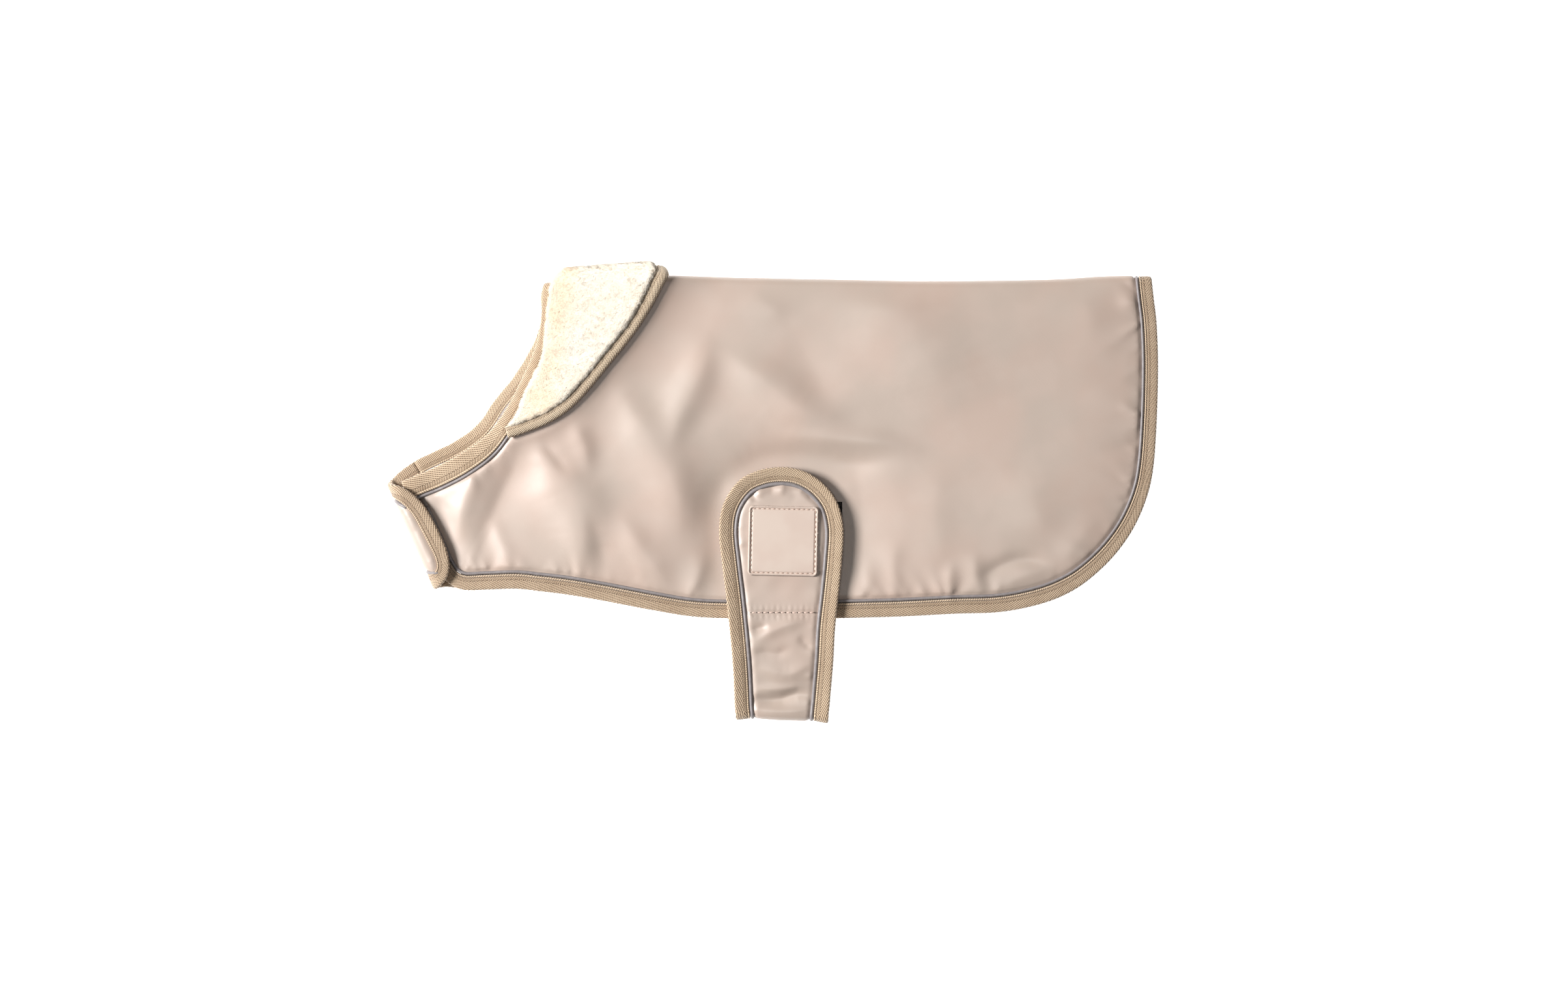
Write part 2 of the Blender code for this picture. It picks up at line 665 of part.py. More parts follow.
def tape_width(station):
    return station.tape


def piping_width(station):
    return PIPING_WIDTH


def piping_line(station):
    return station.tape + SEAM + PIPING_WIDTH / 2


def tape_line(station):
    return station.tape + SEAM


def cloth_line(station):
    return station.tape + 2 * SEAM + PIPING_WIDTH


def has_piping(station):
    """Whether this point of the neck is past the collar's end, where piping takes its place."""
    return abs(station.u) > COLLAR_END_U


def coat_cloth_line(station):
    """A little wider on the far half by the flap, where two runs of stations meet."""
    by_flap = ease(station.w, -165.0, -185.0) if station.u < 0 else 0.0
    return cloth_line(station) + 1.5 * SEAM * by_flap


def neck_cloth_line(station):
    if abs(station.u) < COLLAR_END_U - 8.0:
        return tape_line(station)
    return coat_cloth_line(station)


def rim_line():
    """The coat's edge from the near half's hidden end, along hem and tail, over the spine, to the flap."""
    near = COAT.rows([*NEAR_END, *HEM], NEAR)
    far = COAT.rows([*inset_hem(), *FLAP_LOW[::-1]], FAR)
    crease = (TAIL_CREASE_X, 0.0, HEM[-1].tape)
    return spline([*near, crease, *far], FINE)


def inset_hem():
    """The far half's hem from the spine to the chest, a little inside the near one."""
    rows = []
    for row in HEM[:0:-1]:
        below = ease(row.y, 60.0, -40.0)
        rows.append(Rim(row.x - FAR_INSET * (1 - below), row.y + FAR_INSET * below, row.tape))
    return rows


def neck_line():
    """The neck's edge from the near chest over the spine, along the flap's upper edge."""
    near = COAT.rows(NEAR_NECK[::-1], NEAR)
    far = COAT.rows([*FAR_NECK, *FLAP_TOP], FAR)
    crease = (NECK_CREASE_X, 0.0, NEAR_NECK[0].tape)
    return spline([*near, crease, *far], FINE)


def flap_line():
    top = FLAP.rows(FLAP_TOP, FAR)
    low = FLAP.rows(FLAP_LOW, FAR)
    return spline([*top, *FLAP_EDGE, *low], FINE)


def strap_line():
    left = STRAP.rows(STRAP_UNDER_LEFT, FAR)
    edge = STRAP.rows(STRAP_EDGE, NEAR)
    right = STRAP.rows(STRAP_UNDER_RIGHT, FAR)
    return spline([*left, STRAP_LEFT_CREASE, *edge, STRAP_RIGHT_CREASE, *right], FINE)


def collar_line():
    near = COLLAR.rows(COLLAR_EDGE[::-1], NEAR)
    far = COLLAR.rows(COLLAR_EDGE, FAR)
    return spline([*near, COLLAR_EDGE_CREASE, *far], FINE)


def collar_neck_line():
    near = COLLAR.rows(COLLAR_NECK[::-1], NEAR)
    far = COLLAR.rows(COLLAR_NECK, FAR)
    return spline([*near, COLLAR_NECK_CREASE, *far], FINE)


def run_of(points, picked):
    """The first unbroken run of points for which picked(point) holds."""
    found = []
    for point in points:
        if picked(point):
            found.append(point)
        elif found:
            break
    return found


def flat_low(w, u):
    return -WALL / 2


def flat_high(w, u):
    return WALL / 2


def flap_seam(fold, depth):
    """The seam between flap and far half, from low to high, as pattern points of a fold."""
    spots = []
    for w in (80.0, -24.0):
        x = FLAP_START[0] + FLAP_ALONG[0] * w + FLAP_IN[0] * depth
        y = FLAP_START[1] + FLAP_ALONG[1] * w + FLAP_IN[1] * depth
        spots.append(fold.flat(x, y, FAR))
    return spots


def back_cuts():
    """Close cuts where the cloth rises and folds, wide ones where it lies flat underneath."""
    cuts = bend_cuts(COAT)
    cuts += [("w", at, everywhere) for at in grid(-224.0, -40.0, 11.0)]
    cuts += [("w", at, on_near) for at in grid(-40.0, 222.0, 10.5)]
    cuts += [("w", at, on_far) for at in grid(-40.0, 222.0, 26.0)]
    cuts += [("u", at, on_near) for at in grid(COAT.turn, 200.0, 10.5)]
    cuts += [("u", -at, under_neck) for at in grid(COAT.turn, 200.0, 12.0)]
    cuts += [("u", -at, under_tail) for at in grid(COAT.turn, 200.0, 26.0)]
    return cuts


def on_near(centre):
    return centre[1] > COAT.turn


def on_far(centre):
    return centre[1] < -COAT.turn


def under_neck(centre):
    return on_far(centre) and centre[0] < -40.0


def under_tail(centre):
    return on_far(centre) and centre[0] > -40.0


def before_flap(line, joint):
    """The part of an edge that comes before the flap takes it over."""
    return [point for point in line if point[1] > 0 or point[0] > joint.x + 5 * SEAM]


def make_coat():
    rim_steps = step_for(COAT, 9.0, 15.0)
    neck_steps = step_for(COAT, 6.0, 8.0)
    whole_rim = stations_of(rim_line(), RIM_SIDE, rim_steps)
    whole_neck = stations_of(neck_line(), NECK_SIDE, neck_steps)
    outline = loop_of(
        stretched(shifted(whole_rim, coat_cloth_line), 12.0),
        flap_seam(COAT, FLAP_SEAM + SEAM),
        stretched(shifted(whole_neck, neck_cloth_line)[::-1], 4.0),
    )
    sheet("back_panel", COAT, outline, back_cuts(), flat_low, flat_high, CLOTH)
    rim = stations_of(before_flap(rim_line(), FLAP_LOW[-1]), RIM_SIDE, rim_steps)
    neck = stations_of(before_flap(neck_line(), FLAP_TOP[0]), NECK_SIDE, neck_steps)
    section = tape_section(TAPE_THICK)
    band("hem_tape", COAT, rim, section, edge_line, tape_width, TAPE)
    band("neck_tape", COAT, neck, section, edge_line, tape_width, TAPE)
    near = run_of(neck, has_piping)
    far = run_of(neck[::-1], has_piping)[::-1]
    cord = cord_section(PIPING_THICK)
    band("hem_piping", COAT, rim, cord, piping_line, piping_width, GREY)
    band("neck_piping_near", COAT, near, cord, piping_line, piping_width, GREY)
    band("neck_piping_far", COAT, far, cord, piping_line, piping_width, GREY)


def make_collar():
    edge = stations_of(collar_line(), COLLAR_SIDE, step_for(COLLAR, 7.0, 10.0, 3.0))
    neck = stations_of(collar_neck_line(), COLLAR_SIDE, step_for(COLLAR, 7.0, 10.0, 3.0))
    inner = stretched(shifted(edge, tape_line), 6.0)
    outline = loop_of(inner, stretched(shifted(neck, edge_line)[::-1], 6.0))

    def swell(w, u):
        """The pile's outer face: rounded at the edges, puffed up on the near half."""
        share = min(1.0, edge_gap(w, u, outline) / FUR_ROUND)
        arc = math.sqrt(1 - (1 - share) ** 2)
        full = FUR + FUR_PUFF * ease(u, 0.0, COLLAR.turn)
        return -FUR / 2 + full * (FUR_EDGE + (1 - FUR_EDGE) * arc)

    cuts = bend_cuts(COLLAR)
    cuts += [("w", at, everywhere) for at in grid(-160.0, -60.0, 14.0)]
    cuts += [("u", at, everywhere) for at in grid(COLLAR.turn, 112.0, 14.0)]
    cuts += [("u", -at, everywhere) for at in grid(COLLAR.turn, 112.0, 20.0)]
    sheet("collar", COLLAR, outline, cuts, lambda w, u: -FUR / 2, swell, PILE, (1.2, 2.8))
    section = tape_section(COLLAR_TAPE_THICK, (COLLAR_TAPE_THICK - FUR) / 2)
    band("collar_tape", COLLAR, edge, section, edge_line, tape_width, TAPE)


def make_flap():
    stations = stations_of(flap_line(), FLAP_SIDE, step_for(FLAP, 5.0, 6.0, 2.6))
    top = run_of(stations, pipes_flap)
    low = run_of(stations[::-1], pipes_flap)[::-1]
    inner = shifted(stations, flap_cloth_line)
    outline = loop_of(inner, flap_seam(FLAP, FLAP_SEAM))
    cuts = bend_cuts(FLAP, 6) + [("w", at, everywhere) for at in grid(0.0, 64.0, 10.0)]
    sheet("chest_flap", FLAP, outline, cuts, flat_low, flat_high, CLOTH)
    band("flap_tape", FLAP, stations, tape_section(TAPE_THICK), edge_line, tape_width, TAPE)
    cord = cord_section(PIPING_THICK)
    band("flap_piping_top", FLAP, top, cord, piping_line, piping_width, GREY)
    band("flap_piping_low", FLAP, low, cord, piping_line, piping_width, GREY)


def pipes_flap(station):
    """Whether the flap's edge has piping here: only where it comes round the chest fold."""
    upper = station.w < FLAP_LENGTH / 2
    return station.u < (FLAP_TOP_PIPED if upper else FLAP_LOW_PIPED)


def flap_cloth_line(station):
    return cloth_line(station) if pipes_flap(station) else tape_line(station)


def make_strap():
    stations = stations_of(strap_line(), STRAP_SIDE, step_for(STRAP, 8.0, 12.0))
    cuts = bend_cuts(STRAP)
    cuts += [("w", at, everywhere) for at in grid(-30.0, 42.0, 14.0)]
    cuts += [("u", at, everywhere) for at in grid(STRAP.turn, 146.0, 9.0)]
    cuts += [("u", -at, everywhere) for at in grid(STRAP.turn, 58.0, 18.0)]
    sheet("belly_strap", STRAP, shifted(stations, cloth_line), cuts, flat_low, flat_high, CLOTH)
    band("strap_tape", STRAP, stations, tape_section(TAPE_THICK), edge_line, tape_width, TAPE)
    cord = cord_section(PIPING_THICK)
    band("strap_piping", STRAP, stations, cord, piping_line, piping_width, GREY)


def rounded_square(side, radius, steps):
    """Corners of a square about the origin, each rounded in a few steps."""
    corners = []
    for quarter in range(4):
        start = quarter * math.pi / 2
        for k in range(steps + 1):
            angle = start + math.pi / 2 * k / steps
            middle = start + math.pi / 4
            reach = (side / 2 - radius) * math.sqrt(2)
            x = reach * math.cos(middle) + radius * math.cos(angle)
            y = reach * math.sin(middle) + radius * math.sin(angle)
            corners.append((x, y))
    return corners


def make_label():
    """A rubber square with a raised rim round a plain field."""
    outline = []
    for x, y in rounded_square(LABEL_SIDE, LABEL_ROUND, 3):
        turned_x = x * math.cos(LABEL_TURN) - y * math.sin(LABEL_TURN)
        turned_y = x * math.sin(LABEL_TURN) + y * math.cos(LABEL_TURN)
        outline.append(STRAP.flat(LABEL_MIDDLE[0] + turned_x, LABEL_MIDDLE[1] + turned_y, NEAR))
    base = WALL / 2 + SEAM

    def top(w, u):
        gap = edge_gap(w, u, outline)
        if gap < 0.1:
            return base + LABEL_FIELD_HIGH
        return base + (LABEL_RIM_HIGH if gap < LABEL_RIM + 0.1 else LABEL_FIELD_HIGH)

    cuts = [("u", at, everywhere) for at in grid(STRAP.turn, 146.0, 9.0)]
    sheet("label", STRAP, outline, cuts, lambda w, u: base, top, RUBBER, (0.4, LABEL_RIM - 0.4, 0.3))


def make_hook():
    low = ((HOOK.left, HOOK.low), (HOOK.right, HOOK.low))
    high = ((HOOK.right, HOOK.high), (HOOK.left, HOOK.high))
    outline = [HOOK_LAYER.flat(x, y, NEAR) for x, y in (*low, *high)]
    base = WALL / 2 + SEAM
    top = base + HOOK_THICK
    sheet("hook_patch", HOOK_LAYER, outline, [], lambda w, u: base, lambda w, u: top, HOOKS, (HOOK_EDGE,))


make_coat()
make_collar()
make_flap()
make_strap()
make_label()
make_hook()
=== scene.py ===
import math

import bpy
import numpy as np
from mathutils.geometry import delaunay_2d_cdt
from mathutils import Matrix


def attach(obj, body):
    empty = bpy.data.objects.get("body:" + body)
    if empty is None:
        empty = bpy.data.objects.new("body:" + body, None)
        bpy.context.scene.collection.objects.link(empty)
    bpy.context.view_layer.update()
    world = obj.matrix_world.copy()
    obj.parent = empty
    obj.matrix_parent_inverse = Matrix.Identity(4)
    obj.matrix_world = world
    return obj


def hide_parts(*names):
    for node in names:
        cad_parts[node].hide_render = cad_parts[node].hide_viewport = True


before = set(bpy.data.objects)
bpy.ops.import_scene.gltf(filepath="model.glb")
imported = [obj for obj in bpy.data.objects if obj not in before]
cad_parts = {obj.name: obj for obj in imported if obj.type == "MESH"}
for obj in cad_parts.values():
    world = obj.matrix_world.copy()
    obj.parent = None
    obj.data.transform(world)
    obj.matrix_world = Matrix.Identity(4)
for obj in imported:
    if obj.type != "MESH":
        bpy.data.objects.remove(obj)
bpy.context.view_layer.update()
print("frame loaded:", len(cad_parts), "solids")

# Everything is laid out in millimetres, x from chest to tail and y towards the spine,
# and turned into metres when a mesh is made.
mm = 0.001
nearSide, farSide = 1, -1
mostAtOnce = 1500000  # distances worked out together, so that they fit in memory


def ease(value, start, stop):
    share = np.clip((value - start) / (stop - start), 0.0, 1.0)
    return share * share * (3 - 2 * share)


def smoothPath(rows, step):
    # a smooth curve through the rows, whatever their columns, with a point about every step
    rows = np.array(rows, float)
    padded = np.vstack([2 * rows[0] - rows[1], rows, 2 * rows[-1] - rows[-2]])
    found = []
    for a, b, c, d in zip(padded, padded[1:], padded[2:], padded[3:]):
        count = max(1, math.ceil(math.dist(b[:2], c[:2]) / step))
        t = (np.arange(count) / count)[:, None]
        found.append(
            (2 * t**3 - 3 * t**2 + 1) * b + (t**3 - 2 * t**2 + t) * (c - a) / 2
            + (3 * t**2 - 2 * t**3) * c + (t**3 - t**2) * (d - b) / 2
        )
    return np.vstack([*found, rows[-1:]])


def heightOf(rows):
    line = smoothPath(rows, 4.0)
    return lambda x: np.interp(x, line[:, 0], line[:, 1])


def runAlong(path):
    steps = np.hypot(*np.diff(path[:, :2], axis=0).T)
    return np.concatenate([[0.0], np.cumsum(steps)])


def nearestOn(spots, path):
    # how far each spot is from a path, and how far along the path its nearest point lies
    starts, runs = path[:-1, :2], np.diff(path[:, :2], axis=0)
    lengths = np.maximum(np.hypot(*runs.T), 1e-9)
    behind = np.concatenate([[0.0], np.cumsum(lengths)[:-1]])
    gaps, places = [], []
    for part in np.array_split(spots, len(spots) * len(starts) // mostAtOnce + 1):
        offset = part[:, None, :2] - starts
        share = np.clip((offset * runs).sum(2) / lengths**2, 0, 1)
        gap = np.linalg.norm(offset - share[..., None] * runs, axis=2)
        best = gap.argmin(1)
        row = np.arange(len(part))
        gaps.append(gap[row, best])
        places.append(behind[best] + share[row, best] * lengths[best])
    return np.concatenate(gaps), np.concatenate(places)


def insideOf(spots, loop):
    a, b = loop[:, :2], np.roll(loop[:, :2], -1, axis=0)
    within = []
    for part in np.array_split(spots, len(spots) * len(a) // (2 * mostAtOnce) + 1):
        x, y = part[:, None, 0], part[:, None, 1]
        crosses = (a[:, 1] > y) != (b[:, 1] > y)
        slope = (b[:, 0] - a[:, 0]) / np.where(b[:, 1] == a[:, 1], 1e-9, b[:, 1] - a[:, 1])
        within.append((crosses & (x < a[:, 0] + (y - a[:, 1]) * slope)).sum(1) % 2 == 1)
    return np.concatenate(within)


def gapOutside(x, y, loop):
    spots = np.column_stack([np.ravel(x), np.ravel(y)])
    gap = nearestOn(spots, np.vstack([loop, loop[:1]]))[0]
    return np.where(insideOf(spots, loop), 0.0, gap).reshape(np.shape(x))


def ripples(x, y, seed, count, longest, shortest):
    # gentle uneven waves, about 1 high in all
    rng = np.random.default_rng(seed)
    total = np.zeros(np.shape(x))
    for _ in range(count):
        length = rng.uniform(shortest, longest)
        turn = rng.uniform(0, math.pi)
        phase = rng.uniform(0, 2 * math.pi)
        total += np.sin((x * math.cos(turn) + y * math.sin(turn)) * 2 * math.pi / length + phase)
    return total / math.sqrt(count)


class Fold:
    # a sheet folded over a crease: w runs along the crease and u across it, + on the near layer
    def __init__(self, start, along, inward, crest, radius, wall, lift):
        self.start, self.along, self.inward = start, along, inward
        self.crest, self.radius, self.lift = crest, radius, lift
        self.outer = radius + wall / 2
        self.turn = radius * math.pi / 2

    def flat(self, rows, side):
        rows = np.array(rows, float)
        dx, dy = rows[:, 0] - self.start[0], rows[:, 1] - self.start[1]
        w = dx * self.along[0] + dy * self.along[1]
        depth = dx * self.inward[0] + dy * self.inward[1] - self.crest(w)
        return np.column_stack([w, side * (self.turn + depth - self.outer), rows[:, 2:]])

    def place(self, w, u, out):
        reach = self.radius + out
        angle = np.clip(u / self.radius, -math.pi / 2, math.pi / 2)
        beyond = np.maximum(0.0, np.abs(u) - self.turn)
        depth = self.crest(w) + self.outer - reach * np.cos(angle) + beyond
        x = self.start[0] + self.along[0] * w + self.inward[0] * depth
        y = self.start[1] + self.along[1] * w + self.inward[1] * depth
        z = self.outer + reach * np.sin(angle) + self.lift(x, y, u)
        return np.stack([x, y, np.maximum(z, 0.0)], axis=-1)


# The coat as it lies folded
coat = {
    "wall": 3.0,
    "layerGap": 2.0,
    "seam": 0.3,
    "tapeProud": 0.3,
    "pipingWidth": 1.9,
    "farInset": 1.2,
    "tuck": 0.8,  # how far cloth goes in under piping and tape
    "pinch": 1.0,  # how far cloth is drawn down at a seam
    "pinchReach": 1.5,  # and how far in from it
    "pleatLimits": (-0.9, 1.1),  # no pleat is deeper or higher
    "toTape": 0.6,  # how far cloth without piping goes in under its tape
    "collarLift": 5.7,
    "collarMargin": 3.0,
    "collarFall": 30.0,
    "collarEnd": (-152.0, 36.5),
    "tailCrease": (217.4, 0.0, 7.3),
    "neckCrease": (-131.4, 0.0, 7.4),
}
# x, y of the crease along the spine
spineRows = [
    (-135.0, 118.9), (-100.0, 121.4), (-60.0, 123.6), (-10.0, 122.7), (42.0, 121.7),
    (87.0, 120.9), (155.0, 121.7), (192.0, 123.7), (222.0, 123.2),
]
# x, y, tape width of the neck opening, from the spine down to the chest
nearNeckRows = [
    (-132.8, 112.0, 7.4), (-132.6, 101.4, 7.4), (-133.9, 91.0, 7.4), (-137.7, 78.0, 7.5),
    (-144.0, 64.1, 7.6), (-151.6, 49.3, 8.0), (-159.4, 37.8, 9.0), (-168.5, 28.9, 10.6),
    (-180.9, 20.8, 11.4), (-193.4, 14.2, 11.4), (-204.5, 9.4, 11.2), (-213.4, 5.7, 11.0),
]
farNeckRows = [
    (-132.8, 112.0, 7.4), (-132.9, 101.4, 7.4), (-134.6, 92.0, 7.4), (-139.9, 80.4, 7.5),
    (-149.3, 65.4, 7.5), (-160.0, 52.4, 7.6), (-167.3, 41.5, 7.8), (-175.3, 33.9, 8.0),
    (-186.0, 27.2, 8.0), (-199.6, 20.8, 8.0),
]
# x, y, tape width of the end under the flap, then of the hem, then of the tail up to the spine
nearEndRows = [(-206.8, -12.2, 8.0), (-202.4, -21.8, 8.0), (-196.4, -35.4, 8.0), (-192.2, -44.6, 8.0)]
hemRows = [
    (-186.6, -52.4, 8.3), (-177.5, -56.6, 8.4), (-163.0, -56.4, 8.5), (-145.0, -56.1, 8.6),
    (-125.0, -58.4, 8.6), (-100.0, -62.4, 8.6), (-70.0, -68.1, 8.6), (-45.0, -72.0, 8.6),
    (-15.0, -73.0, 8.6), (25.0, -73.0, 8.6), (60.0, -72.3, 8.6), (102.0, -70.4, 8.6),
    (128.0, -69.5, 8.6), (147.4, -66.3, 8.6), (165.0, -60.6, 8.6), (180.0, -51.8, 8.4),
    (194.6, -38.4, 8.0), (206.2, -22.6, 7.6), (214.2, -4.8, 7.3), (218.3, 13.0, 7.3),
    (220.3, 40.0, 7.3), (221.1, 72.0, 7.3), (220.3, 96.0, 7.3), (218.6, 111.0, 7.3),
]

# The collar, turned down over the neck
collar = {
    "pile": 5.0,
    "puff": 1.6,
    "tapeThick": 4.0,
    "tapeRoll": 1.3,
    "clear": 0.5,  # over the folded coat at the spine
    "edgeLow": 0.35,  # share of the pile's height left at its edges
    "edgeReach": 2.4,  # from its edges to its full height
    "sunk": 1.6,  # how far the fabric lies below the strands' tips
    "rootsSunk": 2.2,  # and how far the strands' roots do
    "strandHigh": (1.9, 0.5),  # the least, and up to how much more
    "tipLimit": (1.6, 2.2),  # how far strands reach over the tape, how far they keep off the neck's edge
    "edgeCrease": (-60.6, 0.0, 7.0),
    "neckCrease": (-119.6, 0.0, 7.0),
}
collarRollRows = [
    (-140.0, 128.6), (-119.0, 128.8), (-106.0, 129.8), (-87.0, 131.2), (-71.0, 132.2),
    (-62.0, 130.0), (-50.0, 129.6),
]
collarEdgeRows = [
    (-59.8, 124.0, 7.0), (-62.9, 117.0, 7.0), (-70.0, 103.6, 7.0), (-79.2, 89.7, 7.0),
    (-93.0, 72.4, 7.0), (-106.8, 55.8, 7.0), (-117.0, 45.9, 7.0), (-128.3, 38.8, 7.0),
    (-140.0, 34.0, 7.0), (-151.0, 30.3, 7.0),
]
collarNeckRows = [
    (-126.2, 119.4, 7.0), (-128.1, 109.3, 7.0), (-129.3, 96.0, 7.0), (-131.0, 80.0, 7.0),
    (-135.1, 68.5, 7.0), (-141.4, 57.0, 7.0), (-145.8, 45.2, 7.0), (-151.2, 37.6, 7.0),
]

# The chest flap, folded over the near half's end
flap = {
    "foldTop": (-221.1, 3.4),
    "foldLow": (-194.1, -57.1),
    "radius": 4.55,
    "seamDepth": 12.0,
    "seamEnds": (80.0, -24.0),
    "pinch": 0.8,
    "seamFade": (-16.0, -11.0),
    "puckers": (41, 9.0, 4.0, 0.35),  # draw, mm between them, how far they reach in, how high
    "puckersTo": 260.0,
    "topPiped": 12.0,
    "lowPiped": 7.0,
    # the two bits of piping that show: along the fold, past the fold, width
    "topStub": [(8.7, -10.0, 1.9), (9.1, -4.0, 1.9), (10.2, 0.8, 1.9), (13.4, 4.2, 1.9), (16.6, 6.6, 1.9)],
    "lowStub": [(54.4, -8.0, 1.9), (54.4, -3.0, 1.9), (54.9, 1.0, 1.9), (56.6, 5.0, 1.9), (58.2, 8.4, 1.9)],
}
# along the fold, past the fold, tape width
flapEdgeRows = [
    (-2.6, -4.5, 7.7), (-1.0, 0.0, 7.6), (0.7, 4.0, 7.6), (3.6, 8.0, 7.7), (8.4, 11.6, 7.8),
    (14.4, 14.4, 8.2), (21.4, 16.4, 8.4), (31.0, 17.4, 8.6), (40.9, 17.7, 8.4),
    (48.2, 17.4, 7.8), (54.6, 16.0, 7.2), (59.2, 13.8, 7.2), (62.8, 10.4, 7.8),
    (64.9, 6.2, 8.8), (65.6, 1.6, 9.8), (65.6, -3.0, 9.6),
]
flapTopRows = [(-206.4, 17.2, 8.0), (-211.4, 13.9, 7.9), (-215.6, 10.6, 7.8)]
flapLowRows = [(-187.6, -54.9, 7.2), (-183.2, -55.4, 7.8), (-177.9, -55.4, 8.3)]

# The belly strap, folded up at the bottom
strap = {
    "pipingWidth": 2.3,
    "climb": 4.1,
    "climbFrom": -124.0,
    "climbTo": -84.0,
    "hookStep": 1.3,
    "hookFrom": -58.0,
    "hookTo": -40.0,
    "tapeTilt": 1.3,
    "leftCrease": (-21.4, 0.0, 8.4),
    "rightCrease": (31.8, 0.0, 8.4),
    "stitchY": -69.4,  # the stitched line across it
    "stitched": (-12.6, 23.8, 12),  # from, to, how many holes
    "lineDeep": 0.55,
    "pleatHigh": 0.2,
    "pleatPitch": 3.3,
    "puckers": (52, 7.5, 3.6, 0.75),  # draw, mm between them, how far they reach in, how high
    "foldLimits": (-1.9, 1.6),  # no fold of its own is deeper or higher
    # the thread: half its thickness, how far it lies in the cloth, how far from a hole it starts
    "thread": (0.34, 0.28, 0.35),
    "hole": (0.42, 0.3, 0.34),  # half its width, how deep, half its length
}
strapFoldRows = [(-40.0, -129.6), (-20.0, -130.0), (4.0, -131.3), (34.0, -131.9), (50.0, -131.9)]
strapEdgeRows = [
    (-22.0, -122.6, 8.4), (-22.7, -106.0, 8.4), (-24.0, -88.0, 8.4), (-26.6, -62.0, 8.4),
    (-29.0, -42.0, 8.4), (-30.8, -22.0, 8.4), (-28.0, -6.4, 8.4), (-19.4, 6.2, 8.4),
    (-7.9, 12.2, 8.4), (5.1, 14.0, 8.4), (17.4, 11.8, 8.4), (28.4, 5.0, 8.4),
    (36.8, -6.0, 8.4), (40.4, -20.4, 8.4), (39.8, -38.0, 8.4), (37.9, -58.0, 8.4),
    (35.7, -78.0, 8.4), (34.6, -98.0, 8.4), (32.8, -120.0, 8.4),
]
strapUnderLeft = [(-23.8, -73.0, 8.4), (-22.8, -96.0, 8.4), (-21.8, -118.0, 8.4)]
strapUnderRight = [(32.4, -118.0, 8.4), (33.8, -96.0, 8.4), (35.4, -73.0, 8.4)]

# Where the cloth is pressed flat
strapArea = np.vstack([(-22.0, -140.0), smoothPath(strapEdgeRows, 8.0)[:, :2], (33.0, -140.0)])
flapArea = np.array([(-224.0, 8.0), (-204.0, 2.0), (-187.0, -50.0), (-184.0, -62.0), (-200.0, -64.0)])
collarArea = np.vstack([smoothPath(collarEdgeRows, 12.0), smoothPath(collarNeckRows, 12.0)[::-1]])[:, :2]

# The near half's soft folds: points along the crest, spread there, rise and, for some,
# the left-hand side's share of the spread, as seen when walking along the points.
nearFolds = [
    # the long roll from the collar down to the hem left of the strap
    ([(-96, 68), (-80, 45), (-69, 28), (-59, 10), (-53, -8), (-54, -36)], (9, 15, 12), 3.9),
    # the peak above the strap: its left leg, its right leg and the hollow beside that one
    ([(-33, 92), (-41, 70), (-49, 53), (-55, 40), (-60, 18)], (10, 11, 8), 3.4),
    ([(-36, 84), (-13, 69), (3, 57), (17, 46), (48, 34)], (9, 14, 13), 3.3),
    ([(6, 96), (18, 80), (27, 62), (33, 42)], (12, 14, 12), -0.9),
    # the ledge over the strap's end
    ([(92, 22), (62, 28), (30, 30), (-4, 33)], (7, 7, 6), 2.0),
    # round the chest: the broad bright roll, the small one by the collar, the dark hollow
    ([(-146, 42), (-130, 20), (-119, 4), (-111, -10), (-108, -28), (-112, -60)], (9, 16, 13), 5.0),
    ([(-134, 32), (-125, 20), (-115, 7)], (4, 5, 4), -1.2),
    ([(-120, 46), (-109, 28), (-105, 8)], (6, 8, 6), 2.2),
    ([(-154, 34), (-166, 14), (-174, 0), (-179, -16), (-183, -40)], (6, 7, 6), 1.7),
    ([(-141, 40), (-147, 16), (-156, -4), (-163, -22), (-169, -44), (-171, -66)], (6, 7, 6), -2.4, 2.2),
    ([(-163, -10), (-156, -28), (-147, -52)], (5, 6, 5), 1.0),
    ([(-90, -8), (-78, -30), (-67, -45), (-54, -62)], (8, 10, 7), 2.0),
    ([(-108, -6), (-101, -26), (-94, -50)], (6, 8, 6), -1.3),
    ([(-37, -32), (-42, -48), (-51, -66)], (6, 7, 6), 1.3),
    # the wide back, nearly smooth
    ([(34, 128), (70, 100), (93, 68), (102, 30)], (18, 30, 26), 3.0),
    ([(-18, 122), (-4, 108), (10, 94)], (8, 10, 8), 0.9),
    ([(97, 22), (93, -8), (95, -28), (99, -56)], (13, 14, 8), 0.9),
    ([(146, 18), (150, -8), (154, -34)], (14, 18, 11), 1.4),
    ([(174, 122), (181, 104), (184, 80)], (8, 10, 9), 0.5),
    ([(196, 126), (203, 115), (207, 102)], (5, 6, 5), 1.2),
    # up from the hem right of the strap
    ([(57, -34), (54, -48), (55, -68)], (5, 5, 4), 0.5),
    ([(72, -24), (69, -42), (70, -68)], (5, 5, 4), 0.6),
    ([(104, -38), (101, -52), (103, -68)], (4, 4.5, 4), 1.2),
    ([(117, -32), (116, -47), (120, -64)], (6, 6, 5), 1.4),
    ([(114, -54), (130, -43), (145, -39), (164, -44)], (4, 4.5, 4), -1.5),
    ([(166, -42), (141, -50), (120, -62)], (5, 6, 5), 1.2),
    ([(162, -50), (174, -30), (190, -12)], (7, 9, 9), 0.8),
]
